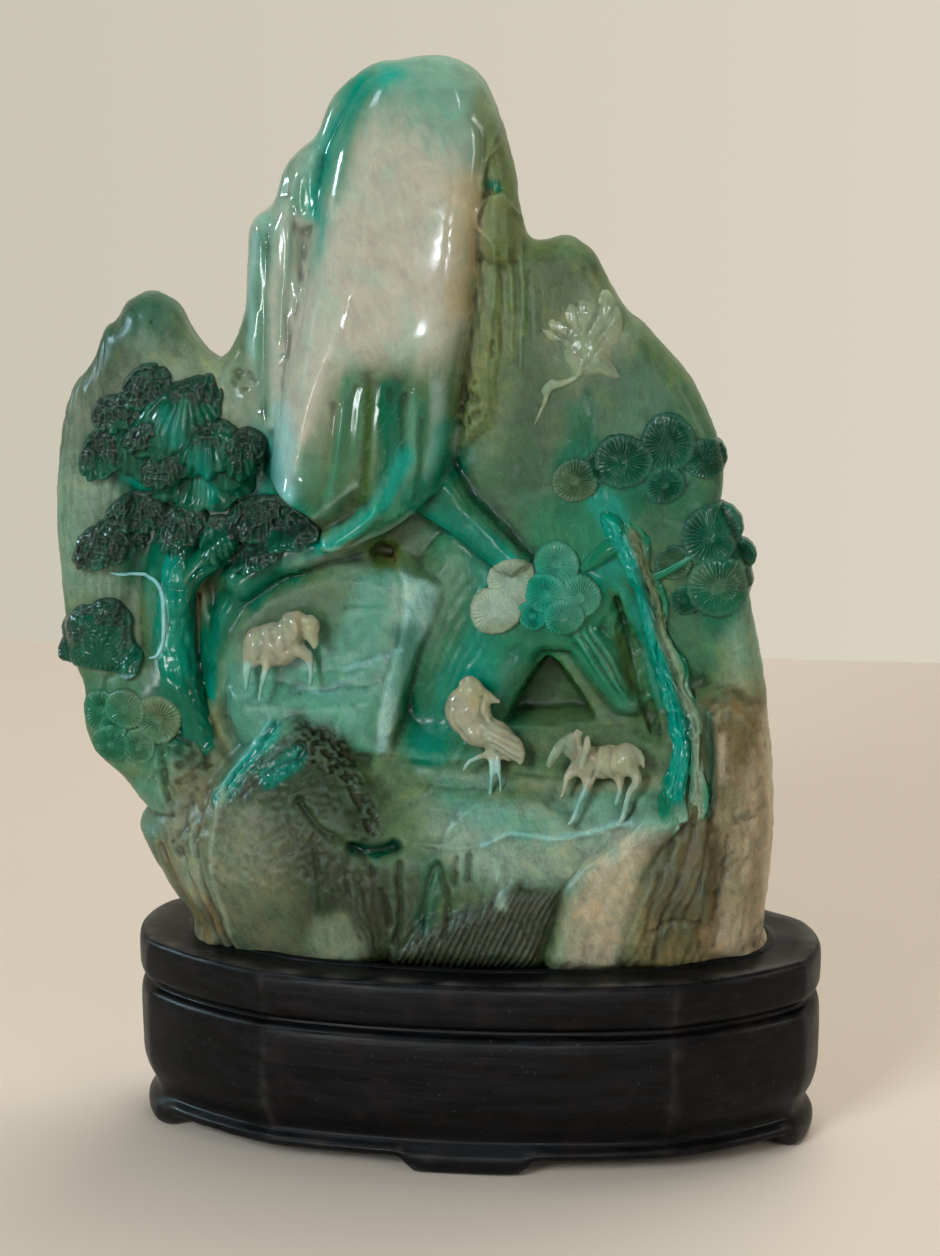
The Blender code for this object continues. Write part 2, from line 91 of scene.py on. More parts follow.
# How softly each kind of form runs into the stone round it.
DOME_SOFT, BLOCK_SOFT, TERRACE_SOFT, RIB_SOFT = 3.0, 1.0, 3.0, 2.2
PEAK_SOFT, HOLLOW_SOFT, BACK_SOFT = 0.8, 1.2, 2.0

# The smooth peak, from its top down: height, left edge, ridge, right edge, and how far the ridge reaches out.
PEAK = (
    (232, -8, -4, 0, 3), (230.5, -14, -7, 6, 5.5), (227, -18, -9.5, 9.5, 8.5),
    (222, -20.5, -10.5, 10.3, 10.5), (214, -24, -11.5, 10.2, 12.2), (205, -26, -12.2, 9.4, 13.6),
    (196, -27.5, -14.2, 8.2, 14.6), (188, -29, -16.6, 7.6, 15.4), (178, -31, -20.6, 6.4, 16.4),
    (167, -33.2, -24.8, 4.3, 17.4), (158, -35, -27.4, 2.4, 17.9), (151, -36.2, -28.7, 1.6, 17.9),
    (145, -36.8, -29.5, 0.6, 17.2), (136, -36.5, -30, -1, 13.6),
)
PEAK_FOOT = (
    (-38, 147), (-36.3, 147), (-32, 142.6), (-27.4, 138.6), (-24.6, 134.4), (-20.5, 132.6), (-17.5, 132.4),
    (-13, 134.2), (-8.9, 136.8), (-4, 140.6), (-0.3, 144.8), (2.6, 149.4), (4, 160),
)
PEAK_TOP, PEAK_ROUND = 234, 6.5
PEAK_FOOT_SLOPE = 2.2  # how steeply the peak ends above its foot
PEAK_SIDE = 0.62  # reach of the peak's left edge, as a part of the ridge's
PEAK_FALL = 0.16  # how much less the peak reaches at its right than at its ridge
PEAK_CREASE = (172, 212)  # heights between which the ridge fades upwards

# Rounded masses: middle, half sizes, lean in degrees, reach at the rim and at the middle.
DOMES = {
    "left peak": ((-61, 163), (13.5, 21), 0, 3, 8.5),
    "left peak knob": ((-61, 176), (7, 8), 0, 5, 9.5),
    "left flank": ((-75, 138), (9, 32), 2, 3, 6.5),
    "saddle": ((-45, 158), (8, 15), 0, 4, 7),
    "strip top": ((12.5, 213), (4.6, 14), -10, 5, 8.5),
    "strip lobe": ((12.6, 198.6), (5.2, 7.4), 8, 6, 10.4),
    "right wall": ((29, 160), (27, 48), -12, 4.5, 7.6),
    "right shoulder": ((48, 140), (17, 36), -14, 4, 7.5),
    "right flank": ((63, 112), (8, 30), -8, 4, 8),
    "middle mass": ((24, 120), (12, 9), 0, 4, 9.5),
    "middle wall": ((6, 112), (14, 24), 4, 5, 8.6),
    "left root": ((-62, 92), (12, 16), 8, 4, 8.5),
    "left slope": ((-54, 68), (11, 22), -14, 6, 12),
    "left heel": ((-50, 52), (9, 20), -16, 9, 14),
    "trunk swell": ((-57, 112), (7, 22), 0, 4, 6.5),
    "knoll": ((16, 66), (15, 15), 0, 17, 20.5),
    "boulder": ((-30, 58), (26, 30), 4, 14, 23),
}

# Cut blocks: reach, slope of the reach to the right and upwards, roundness of the edge, outline.
BLOCKS = {
    "left column": (6.4, 0, 0, 3.0, ((-42, 150), (-41, 190), (-38.6, 197.5), (-35.5, 197.5), (-33.6, 190),
        (-33, 150))),
    "inner column": (8.2, 0, 0, 3.2, ((-36.4, 156), (-35.3, 196), (-33.4, 203.5), (-30.4, 204.5),
        (-28.4, 196), (-28, 156))),
    "top column": (7.6, 0, 0, 3.2, ((-32, 198), (-30.4, 210.5), (-27.4, 214.6), (-24.4, 214), (-23.6, 198))),
    "strip": (7.6, 0, 0, 3.0, ((6, 193), (13.6, 193), (13.8, 172), (11.5, 158), (4, 152), (4.6, 170))),
    "ledge face": (9.5, 0.06, -0.06, 4, ((-46.5, 113), (-43.5, 118), (-38.6, 122), (-31, 125.6),
        (-23.6, 127.6), (-16.2, 127.7), (-8.2, 127), (-2.9, 125.4), (0.2, 122.9), (-0.2, 120.7),
        (-1.9, 115.7), (-5.1, 109.1), (-7.9, 101.3), (-10.1, 92.4), (-11, 87.6), (-42, 87.6), (-46.8, 99))),
    "ledge rim": (10.6, -0.3, 0, 0.9, ((-8.4, 127.2), (-2.9, 125.4), (0.4, 122.9), (0, 120.7), (-1.7, 115.7),
        (-4.9, 109.1), (-7.6, 101.3), (-9.8, 92.4), (-10.8, 87.6), (-13, 87.6), (-13, 94.5), (-11.2, 103.4),
        (-8.6, 112.3), (-7.4, 118.8), (-7.6, 123.2))),
    "ledge floor": (12.4, 0.03, -0.06, 6.0, ((-46, 101), (-38, 102.4), (-25, 102), (-16, 103), (-11, 105),
        (-10.5, 97), (-12, 86), (-42, 86), (-46.4, 95))),
    "ledge stair": (9.8, 0, 0, 3.0, ((-31, 106.6), (-23, 108), (-11.6, 110.4), (-11, 103), (-24, 102),
        (-31, 102))),
    "teal ridge": (10.4, 0.05, 0, 2.6, ((-6, 140.4), (-3, 145), (1.8, 148.6), (6.5, 141.7), (12.8, 136),
        (18.5, 129.1), (15, 126.6), (11.8, 127.5), (10.7, 128.9), (4.9, 133.7), (0.3, 136.9))),
    "root shelf": (7.8, 0, 0, 3.0, ((12, 115.6), (29, 116), (28.4, 109.6), (13.4, 109.2))),
    "cave limb": (8.0, 0, 0, 2.6, ((27, 111), (31.4, 110), (37.4, 103.8), (43, 98.4), (42, 95.6),
        (37.4, 96.4), (32.8, 101.8), (29, 107.4))),
    "grooved leaf": (9.0, 0, 0, 2.4, ((27.6, 113.4), (31.6, 116.4), (37.4, 109.6), (40.3, 100.2),
        (36.6, 100.4), (31.4, 106.4))),
    "right cliff": (14, -0.2, 0, 4, ((55.6, 99), (58.6, 101.6), (61.4, 102.2), (64.6, 100), (69, 97.6),
        (74, 96), (74, 36), (54, 36), (56.6, 76))),
    "mound": (17.6, 0, -0.06, 5.5, ((-49.4, 79.5), (-41.8, 87), (-35, 93.6), (-29.8, 95.8), (-24.2, 93.4),
        (-19.3, 87.6), (-15.8, 80), (-12.9, 70.4), (-12, 58), (-50, 58))),
    "boulder cap": (21.6, 0.05, -0.05, 6, ((-45.4, 76), (-42.6, 80), (-35.9, 81.6), (-29.8, 80.8),
        (-26.5, 76), (-20.4, 72.4), (-16.7, 69.4), (-12.5, 62.3), (-11, 55), (-11, 36), (-41, 36), (-45, 52),
        (-48.4, 62), (-47.4, 70))),
    "striped rock": (23.4, 0, 0, 3, ((-9, 46), (-2.9, 53), (3.7, 55.2), (13.4, 60), (15.5, 62.4), (27, 62.6),
        (25.6, 55.4), (22, 46), (21, 36), (-11, 36))),
    "veil": (22.6, -0.05, 0, 3.2, ((44, 78.4), (40, 73.6), (32.8, 68.4), (27.4, 61.5), (24.6, 46), (23, 36),
        (38, 36), (40.6, 52.9), (43.6, 64.2), (47.6, 71), (54, 78.4))),
    "brown foot": (19, -0.18, 0, 3, ((54, 79), (48, 71), (44, 64), (41, 53), (39, 36), (57, 36), (58, 76))),
}

# The terrace's ground slopes up to the back: its reach at each height, and its outline.
TERRACE_SLOPE = ((36, 19.5), (60, 20.4), (66, 19.8), (70, 18.4), (76, 16), (84, 11.8), (92, 7), (96, 4))
TERRACE = ((-14, 95), (57, 95), (57, 36), (-14, 36))

# Hollows: depth of the floor, and outline.
HOLLOWS = {
    "dark hollow": (1.5, ((-17.1, 129.6), (-13.9, 132.9), (-10.7, 132.9), (-8.6, 131.9), (-8.6, 127.1),
        (-12.9, 127), (-16.7, 128))),
    "gully": (2.6, ((-55.0, 121.4), (-50, 121.8), (-49.8, 111.4), (-50.3, 100.8), (-52.7, 96.2),
        (-55.2, 107))),
    "gully hole": (-1.5, ((-53.8, 113.4), (-52.2, 113.6), (-51.2, 110.8), (-51.8, 108.6), (-53.4, 108.8),
        (-54.2, 111))),
    "cave": (-2, ((22.6, 109.4), (19.6, 106.4), (16.0, 100.4), (12.8, 93.8), (14.6, 92.8), (24.4, 93),
        (34.2, 94), (30.6, 100.6), (26, 107))),
    "tall opening": (3.0, ((34.4, 124.2), (38.4, 122.6), (41.6, 114), (45.6, 101), (48.8, 90.6), (43.5, 91),
        (41.8, 95.4), (40.4, 104.6), (36.6, 112.6))),
}

# Raised ribs that follow a route: reach, half width, route.
RIBS = {
    "arch": (7.6, 2.8, ((-36, 126.4), (-42, 121.6), (-46.4, 114.6), (-47.9, 106), (-48.6, 96), (-48, 88))),
    "arch top": (11.4, 4.4, ((-20, 135), (-26, 132.4), (-32, 129.8))),
    "arch middle": (9.4, 4.0, ((-31, 130.4), (-37, 127), (-42, 123.4))),
    "hem fold": (15.4, 2.6, ((-11.4, 143.4), (-13.4, 140.4), (-17, 137.4), (-22.4, 134))),
    "cave side": (7.6, 2.4, ((19, 110.5), (13.8, 103.4), (9.8, 95.5), (9, 89))),
    "left limb": (7.0, 2.6, ((-45, 132), (-51, 127), (-57, 118))),
}

# Small swellings: place, half size, height.
SWELLINGS = (((-31.0, 143.4), 4.4, 2.8), ((-3, 178), 9, 1.0))

# Shallow dents: depth, width of their soft edge, outline.
DENTS = {
    "hem": (2.0, 3.0, ((-17.4, 146.4), (-20.6, 142.6), (-25.3, 138.8), (-28, 134), (-24.6, 133),
        (-20.2, 135.2), (-15.6, 139), (-13.4, 142.6))),
    "gully": (1.4, 2.4, ((-58, 122), (-48, 124), (-46.6, 112), (-48.6, 98), (-52, 92), (-58, 104))),
    "cave wall": (1.2, 2.0, ((40, 126), (44.6, 124), (52, 96), (48, 90), (41, 92), (37.4, 114))),
}

# Masses of the back: middle, half sizes, lean, reach.
BACK_MASSES = (
    ((-6, 196), (16, 34), 6, 17),
    ((4, 158), (26, 36), -8, 20),
    ((-60, 158), (13, 23), 4, 15),
    ((-53, 119), (23, 34), -8, 20),
    ((-42, 78), (20, 26), -14, 22.5),
    ((-9, 104), (28, 40), 6, 24.5),
    ((37, 126), (22, 40), -12, 20.5),
    ((50, 82), (19, 32), 4, 21),
    ((8, 58), (50, 20), 0, 23),
    ((24, 178), (12, 20), -16, 14.5),
    ((-36, 186), (9, 20), 8, 12),
)
BACK_RIM = 0.45  # reach at such a mass's rim, as a part of the reach at its middle


# ---- numbers over many points at once ----


def smooth_step(low, high, at):
    part = np.clip((at - low) / (high - low), 0.0, 1.0)
    return part * part * (3 - 2 * part)


def higher_of(a, b, soft):
    """The higher of two surfaces, with their meeting line rounded."""
    near = np.clip(1 - np.abs(a - b) / soft, 0, 1)
    return np.maximum(a, b) + near * near * soft / 4


def bell(away):
    """1 at no distance, falling off smoothly on both sides."""
    return np.exp(-away * away)


def table_at(rows, at):
    """The second and later columns of a table read between its rows; the first column rises."""
    rows = np.array(rows, float)
    return [np.interp(at, rows[:, 0], column) for column in rows.T[1:]]


def turned(x, z, middle, lean):
    """Places seen from a form's middle, along its own width and height."""
    c, s = math.cos(math.radians(lean)), math.sin(math.radians(lean))
    dx, dz = x - middle[0], z - middle[1]
    return dx * c - dz * s, dx * s + dz * c


def inside_depth(x, z, outline):
    """How far each point lies inside a closed outline. It is below zero outside."""
    nearest, inside = np.full(x.shape, 1e9), np.zeros(x.shape, bool)
    for (ax, az), (bx, bz) in zip(outline, (*outline[1:], outline[0])):
        nearest = np.minimum(nearest, away_from_side(x, z, ax, az, bx, bz))
        if az != bz:
            inside ^= ((az > z) != (bz > z)) & (x < ax + (bx - ax) * (z - az) / (bz - az))
    return np.where(inside, nearest, -nearest)


def away_from_side(x, z, ax, az, bx, bz):
    ex, ez = bx - ax, bz - az
    along = np.clip(((x - ax) * ex + (z - az) * ez) / (ex * ex + ez * ez), 0, 1)
    return np.hypot(x - ax - along * ex, z - az - along * ez)


def away_from_route(x, z, route):
    nearest = np.full(x.shape, 1e9)
    for (ax, az), (bx, bz) in zip(route, route[1:]):
        nearest = np.minimum(nearest, away_from_side(x, z, ax, az, bx, bz))
    return nearest


MIXER, SEED_STEP, MIX_SPREAD = (127.1, 311.7, 74.7), 13.7, 43758.5453  # numbers that scatter the lumps


def lumps(points, size, seed=0):
    """Smooth noise from -1 to 1 whose lumps have the given size, the same on every run."""
    scaled = points / size
    cell = np.floor(scaled)
    part = scaled - cell
    part = part * part * (3 - 2 * part)
    total = np.zeros(len(points))
    for corner in itertools.product((0, 1), repeat=3):
        mixed = np.sin((cell + corner) @ MIXER + seed * SEED_STEP) * MIX_SPREAD
        share = np.prod(np.where(corner, part, 1 - part), axis=1)
        total += share * (mixed - np.floor(mixed))
    return total * 2 - 1


def layered_lumps(points, layers):
    """The sum of several layers of lumps, each given as (height, size, seed)."""
    return sum(height * lumps(points, size, seed) for height, size, seed in layers)


# ---- how far the stone reaches to the front and to the back ----


def lens_part(x):
    """The boulder is thickest at its middle and thins towards both sides."""
    side = np.clip(np.abs(x - LENS_MIDDLE) / LENS_HALF, 0, 1)
    return LENS_EDGE + (1 - LENS_EDGE) * np.sqrt(1 - side**LENS_POWER)


def wall_drop(inside):
    """How far a form has fallen outside its outline."""
    return WALL_FALL * np.clip(-inside, 0, FAR)


def edge_drop(inside, edge):
    """How far a form is rounded off within its edge."""
    near = np.clip(edge - inside, 0, edge)
    return edge - np.sqrt(edge * edge - near * near)


def dome_reach(x, z, middle, half, lean, low, high):
    across, up = turned(x, z, middle, lean)
    away = (across / half[0]) ** 2 + (up / half[1]) ** 2
    dome = low + (high - low) * np.sqrt(np.clip(1 - away, 0, 1))
    return np.where(away < 1, dome, low - (away - 1) * min(half) * DOME_FALL)


def block_reach(x, z, top, right, up, edge, outline):
    """A cut block's reach: flat or sloping, rounded off at its outline and falling steeply outside it."""
    middle = np.mean(outline, axis=0)
    inside = inside_depth(x, z, outline)
    face = top + right * (x - middle[0]) + up * (z - middle[1])
    return face - edge_drop(inside, edge) - wall_drop(inside)


def peak_reach(x, z):
    """The smooth peak's reach. It has a crease along its lower ridge, which fades into a round upper part."""
    left, ridge, right, reach = table_at(PEAK[::-1], z)
    crease = smooth_step(PEAK_CREASE[1], PEAK_CREASE[0], z)
    rise = 1 - np.clip((x - left) / (ridge - left), 0, 1)
    fall = np.clip((x - ridge) / (right - ridge), 0, 1) * (0.8 + 0.2 * crease)
    side = PEAK_SIDE + (1 - PEAK_SIDE) * (crease * (1 - rise**1.4) + (1 - crease) * (1 - rise * rise))
    face = reach * side * (1 - PEAK_FALL * fall * fall)
    inside = np.minimum(np.minimum(x - left, right - x), (z - table_at(PEAK_FOOT, x)[0]) * PEAK_FOOT_SLOPE)
    inside = np.minimum(inside, PEAK_TOP - z)
    return face - edge_drop(inside, PEAK_ROUND) - wall_drop(inside)


def rib_reach(x, z, top, half, route):
    away = away_from_route(x, z, route) / half
    return top + half * (np.sqrt(np.clip(1 - away * away, 0, 1)) - 1) - wall_drop(half * (1 - away))


def front_reach(x, z):
    """How far the stone stands to the front of its middle plane, in millimetres."""
    reach = table_at(FRONT_WALL, z)[0] * lens_part(x)
    for dome in DOMES.values():
        reach = higher_of(reach, dome_reach(x, z, *dome), DOME_SOFT)
    for block in BLOCKS.values():
        reach = higher_of(reach, block_reach(x, z, *block), BLOCK_SOFT)
    ground = table_at(TERRACE_SLOPE, z)[0] - wall_drop(inside_depth(x, z, TERRACE))
    reach = higher_of(reach, ground, TERRACE_SOFT)
    for rib in RIBS.values():
        reach = higher_of(reach, rib_reach(x, z, *rib), RIB_SOFT)
    reach = higher_of(reach, peak_reach(x, z), PEAK_SOFT)
    for depth, soft, outline in DENTS.values():
        reach = reach - depth * smooth_step(-soft / 2, soft, inside_depth(x, z, outline))
    for (middle_x, middle_z), half, high in SWELLINGS:
        reach = reach + high * bell(np.hypot(x - middle_x, z - middle_z) / half)
    for floor, outline in HOLLOWS.values():
        bowl = floor + np.maximum(0, HOLLOW_WALL - HOLLOW_FALL * inside_depth(x, z, outline))
        reach = -higher_of(-reach, -bowl, HOLLOW_SOFT)
    return reach


def back_reach(x, z):
    reach = table_at(BACK_WALL, z)[0] * lens_part(x)
    for middle, half, lean, high in BACK_MASSES:
        mass = dome_reach(x, z, middle, half, lean, high * BACK_RIM, high * lens_part(middle[0]))
        reach = higher_of(reach, mass, BACK_SOFT)
    return reach


def rim_rounded(x, z, reach):
    """A reach with the stone's outline rounded: thin on the outline, and whole inside the round edge."""
    inside = np.clip(inside_depth(x, z, smooth_route(OUTLINE, 4, closed=True)), 0, FAR)
    wide = np.clip(np.abs(reach) * RIM_SHARE, RIM_LEAST, RIM_MOST)
    near = np.clip(1 - inside / wide, 0, 1)
    return SLAB_THIN + (reach - SLAB_THIN) * np.sqrt(1 - near**2)


def stone_front(x, z):
    """Where the finished stone's front is, as its distance from the middle plane."""
    return rim_rounded(x, z, front_reach(x, z))


# ---- modelling helpers ----


def fineness(name):
    """A size of the meshes that the user can change, in millimetres."""
    return getattr(bpy.context.scene.carving_sizes, name) / MM


def only(piece):
    bpy.ops.object.select_all(action="DESELECT")
    piece.select_set(True)
    bpy.context.view_layer.objects.active = piece


def new_piece(name, adder, **settings):
    """Adds a primitive with nothing else selected, and names it."""
    bpy.ops.object.select_all(action="DESELECT")
    adder(**settings)
    piece = bpy.context.object
    piece.name = piece.data.name = name
    return piece


def points_of(piece, value="co"):
    """The points of a piece, or another value of three numbers that each point has."""
    rows = np.empty(len(piece.data.vertices) * 3, np.float32)
    piece.data.vertices.foreach_get(value, rows)
    return rows.reshape(-1, 3).astype(float)


def put_points(piece, millimetres):
    piece.data.vertices.foreach_set("co", (millimetres * MM).astype(np.float32).ravel())
    piece.data.update()


def pushed(piece, along_normal):
    put_points(piece, points_of(piece) / MM + points_of(piece, "normal") * along_normal[:, None])


def with_modifier(piece, kind, **settings):
    only(piece)
    bpy.ops.object.modifier_add(type=kind)
    modifier = piece.modifiers[-1]
    for name, value in settings.items():
        setattr(modifier, name, value)
    bpy.ops.object.modifier_apply(modifier=modifier.name)


def remeshed(piece, voxel, smoothing=0):
    with_modifier(piece, "REMESH", mode="VOXEL", voxel_size=voxel * MM, adaptivity=0)
    if smoothing:
        with_modifier(piece, "SMOOTH", factor=0.5, iterations=smoothing)


def close_seams(piece, within=0.004):
    only(piece)
    bpy.ops.object.mode_set(mode="EDIT")
    bpy.ops.mesh.select_all(action="SELECT")
    bpy.ops.mesh.remove_doubles(threshold=within * MM)
    bpy.ops.mesh.normals_make_consistent(inside=False)
    bpy.ops.object.mode_set(mode="OBJECT")


def shaped_grid(name, across, down, place):
    """A grid whose points go where place puts their parts across and down (0 to 1), with its seams closed."""
    adder = bpy.ops.mesh.primitive_grid_add
    piece = new_piece(name, adder, x_subdivisions=across, y_subdivisions=down, size=2)
    flat = points_of(piece)
    put_points(piece, place((flat[:, 0] + 1) / 2, (flat[:, 1] + 1) / 2))
    close_seams(piece)
    return piece


def joined(name, pieces):
    bpy.ops.object.select_all(action="DESELECT")
    for piece in pieces:
        piece.select_set(True)
    bpy.context.view_layer.objects.active = pieces[0]
    bpy.ops.object.join()
    piece = bpy.context.object
    piece.name = piece.data.name = name
    return piece


def smooth_route(route, steps, closed=False):
    """A smooth line through the places of a route, with the given steps between them."""
    rows = np.array(route, float)
    if closed:
        ring = np.vstack((rows[-1:], rows, rows[:2]))
    else:
        ring = np.vstack((2 * rows[0] - rows[1], rows, 2 * rows[-1] - rows[-2]))
    part = np.arange(steps)[:, None] / steps
    lines = []
    for a, b, c, d in zip(ring, ring[1:], ring[2:], ring[3:]):
        bend = (2 * a - 5 * b + 4 * c - d) * part**2 + (3 * b - a - 3 * c + d) * part**3
        lines.append(0.5 * (2 * b + (c - a) * part + bend))
    if not closed:
        lines.append(rows[-1:])
    return np.vstack(lines)


def along_line(line, parts):
    """Places at parts from 0 to 1 of a line's own length."""
    steps = np.linalg.norm(np.diff(line, axis=0), axis=1)
    lengths = np.concatenate(([0], np.cumsum(steps)))
    return np.stack([np.interp(parts * lengths[-1], lengths, column) for column in line.T], axis=-1)


def direction_at(line, parts, step, width):
    """The direction of a line at parts of its length, from its first so many columns."""
    ahead = along_line(line, np.clip(parts + step, 0, 1)) - along_line(line, np.clip(parts - step, 0, 1))
    return ahead[:, :width] / np.linalg.norm(ahead[:, :width], axis=1)[:, None]


def neighbours_mean(piece, values):
    """The mean of the values at each point's neighbours."""
    ends = np.empty(len(piece.data.edges) * 2, np.int32)
    piece.data.edges.foreach_get("vertices", ends)
    first, second = ends.reshape(-1, 2).T
    count = np.maximum(np.bincount(ends, minlength=len(values)), 1)
    total = [np.bincount(first, column[second], len(values)) + np.bincount(second, column[first], len(values))
             for column in values.T]
    return np.stack(total, axis=1) / count[:, None]


def hollowness(piece, rounds):
    """How much each point lies in a hollow (above 0) or on a ridge (below 0), in millimetres."""
    at = points_of(piece) / MM
    smoothed = at
    for _ in range(rounds):
        smoothed = neighbours_mean(piece, smoothed)
    return np.einsum("ij,ij->i", smoothed - at, points_of(piece, "normal"))


# ---- fine carving ----

# Lines: depth of the cut (below zero stands proud), half width, routes.
LINES = {
    "ridge": (-0.25, 0.7, (((-17.6, 186), (-20.5, 178.4), (-24.8, 167), (-27.2, 158.4), (-28.7, 150.7)),)),
    "flutes": (0.36, 1.1, (((-20.5, 163), (-22.2, 152), (-24, 141)), ((-16.4, 167), (-18, 154), (-20, 141)),
        ((-12.6, 168), (-13.2, 154), (-14.6, 141)), ((-9.4, 166), (-9.6, 153), (-10.8, 141)), ((-6.2, 165),
        (-6, 153), (-7.2, 142)), ((-2.8, 160), (-3, 151), (-4, 144)))),
    "flute ridges": (-0.3, 0.6, (((-18.6, 163), (-20.6, 150), (-22.4, 142)), ((-4.6, 166), (-4.4, 153),
        (-5.4, 144)))),
    "peak lines": (0.16, 0.4, (((3.6, 212), (2.6, 200), (1.6, 190)), ((6, 222), (8.6, 218), (9.2, 212)),
        ((-31, 176), (-32.4, 168), (-33, 160)), ((-27, 190), (-28, 180), (-29.6, 174)))),
    "columns": (0.25, 0.8, (((-31.4, 203), (-33, 188), (-34, 176)), ((-29.2, 202), (-30.6, 190), (-32, 172)),
        ((-26.6, 212), (-27.6, 202)), ((-37.4, 196), (-38.2, 182)), ((-35.8, 194), (-36.6, 178),
        (-37.6, 160)), ((-33.2, 172), (-35, 158), (-36.2, 149)))),
    "strip": (-0.4, 0.4, (((12.5, 205.4), (8.6, 203.8), (7.8, 199.6), (10.6, 196.6), (11.6, 193),
        (10.5, 178), (9.6, 170)), ((12.5, 205.4), (16, 201), (17.8, 198)), ((13.8, 195), (15.2, 184),
        (14.8, 172)), ((11.8, 219), (9.4, 212.5), (8.8, 206.6)), ((9.4, 212.5), (12.4, 216)), ((16.4, 196),
        (17.4, 184), (16.4, 170)))),
    "strip cuts": (0.25, 0.4, (((12.4, 193.6), (12.9, 180), (12.2, 169)), ((15.4, 194), (16.4, 182)),
        ((9.4, 190), (8.6, 178)), ((18.4, 190), (19.2, 176)), ((20.4, 186), (21, 178)))),
    "ledge steps": (0.2, 0.5, (((-20, 105.8), (-14.7, 107.7), (-8.3, 110.1)), ((-29.8, 100.7),
        (-23.3, 100.9), (-16.8, 105)), ((-40, 99.2), (-30, 100.2)), ((-20, 118.6), (-12, 118.8)), ((-22, 93),
        (-20.6, 98), (-19.6, 88)))),
    "tongue line": (-0.3, 0.45, (((-25.6, 139.4), (-20.4, 143.6), (-16.4, 147), (-15.2, 150.4)),)),
    "hem line": (-0.3, 0.45, (((-24, 133), (-17.4, 133.2), (-8.9, 137.6), (-0.3, 145.4), (2.4, 149.6)),
        ((2.4, 148.4), (7, 141.4), (13, 135.6), (18.5, 129.4)), ((-5.6, 140.6), (0.3, 137), (4.9, 133.8),
        (10.7, 129)))),
    "left gully": (0.7, 0.9, (((-52, 98), (-49.4, 91), (-46.6, 85.6)), ((-54, 98), (-53, 94), (-49.6, 87)))),
    "left notch": (0.9, 0.6, (((-67, 70.4), (-63, 71.6), (-58, 72.4)), ((-58.8, 76), (-60, 84), (-62, 90)))),
    "left slope": (0.8, 0.7, (((-55.6, 66), (-52.4, 58), (-48.8, 48), (-47, 42)), ((-49.4, 79), (-52, 70),
        (-50.2, 60), (-46.4, 48), (-44, 41)), ((-60, 66), (-56.6, 57), (-52, 47)))),
    "left pine crease": (0.9, 0.6, (((-55.6, 103), (-54.5, 97.7), (-52.4, 90.6), (-50.2, 83)),)),
    "blade": (-0.3, 0.4, (((-46.9, 78.8), (-43.3, 84.7), (-40, 89), (-35.8, 94.6)), ((-45.2, 79),
        (-41.4, 84.2), (-37.8, 88.4), (-33.8, 93.4)), ((-43.4, 79.4), (-38.8, 84.4), (-34.4, 88.6),
        (-31, 91)))),
    "blade cuts": (0.4, 0.4, (((-46, 78.8), (-42.3, 84.4), (-38.8, 88.8), (-34.8, 94)), ((-44.2, 79),
        (-39.8, 84.2), (-36, 88.6), (-32.2, 92.4)), ((-41.4, 79.6), (-36.4, 84), (-31, 87), (-27, 86.8)))),
    "boulder side": (-0.4, 0.5, (((-45.4, 80), (-47.6, 72), (-48, 62), (-44.6, 48), (-43.4, 41)),)),
    "boulder cut": (1.1, 0.8, (((-28.6, 79.4), (-25.4, 74.8), (-20, 71), (-16.4, 68.8), (-13, 64)),)),
    "pocket": (2.4, 1.5, (((-17.4, 69.2), (-13, 68.6), (-9, 69.2)),)),
    "boulder veins": (0.35, 0.5, (((-25.4, 72.6), (-24.4, 62), (-24.8, 55)), ((-18.6, 64), (-18.2, 56),
        (-16, 49)), ((-31, 76), (-29, 70)), ((-16, 62), (-13.6, 54), (-12.4, 46)))),
    "stalk": (0.9, 0.7, (((-3.6, 50), (-2.6, 57), (-0.6, 65)), ((1.9, 51), (2.8, 58), (0.4, 66)),
        ((-7.6, 66), (-7.4, 56), (-8.6, 48)), ((5, 67.4), (4.4, 62)), ((7.4, 68), (6.6, 63)), ((-11, 60),
        (-9.6, 52)))),
    "terrace slits": (-0.5, 0.6, (((13, 62.8), (14.3, 67.8)), ((16, 61.6), (16.6, 64)), ((5, 65),
        (5.6, 67.6)))),
    "terrace line": (-0.35, 0.4, (((5.2, 90.3), (3.3, 85.8), (0.5, 82.3), (-2.6, 79.6)),)),
    "terrace rim": (-0.4, 0.5, (((-4, 70), (4, 69.4), (10, 70.6), (16, 73.4), (24, 72.4), (31.2, 72.8),
        (41.2, 76)),)),
    "terrace levels": (0.22, 0.6, (((-10, 86.6), (0, 85.6), (10, 86.4)), ((-8, 82), (4, 80.8), (12, 81.2)),
        ((14, 84.4), (28, 83.4), (46, 84.6)), ((10, 77.2), (22, 76.4), (30, 77)), ((-2, 76.4), (6, 75.6),
        (12, 76)))),
    "terrace dip": (0.25, 1.4, (((22, 74.6), (30, 75.4), (40, 77.6), (46, 79)), ((24, 79), (31, 77.6),
        (41, 78.6)))),
    "rock arch": (0.5, 0.7, (((56.8, 80), (57.6, 90), (56.8, 97), (59, 100.6), (62, 100.8), (65.4, 98),
        (67.6, 94)), ((62.8, 74.6), (67.4, 75.6)))),
    "veil folds": (0.32, 1.2, (((47.6, 76), (39, 66), (34.6, 56), (32.4, 44)), ((43, 74.6), (34.6, 66),
        (30.6, 56), (28.4, 45)), ((50.6, 76), (43, 67), (38.4, 56), (35.6, 44)))),
    "brown cuts": (0.5, 0.6, (((50, 72), (46.6, 62), (44.6, 50)), ((54.4, 76), (52, 66), (48.6, 56),
        (46.6, 46)), ((57.8, 76), (56.8, 66), (53, 55)), ((61.6, 72), (60.6, 62), (58.6, 54)), ((46.4, 52),
        (50.4, 54.6), (54.6, 54)), ((56, 54), (56.4, 47)))),
    "cave floor": (0.2, 0.8, (((14, 92), (26, 92.6), (38, 93.6), (46, 90.6)),)),
}

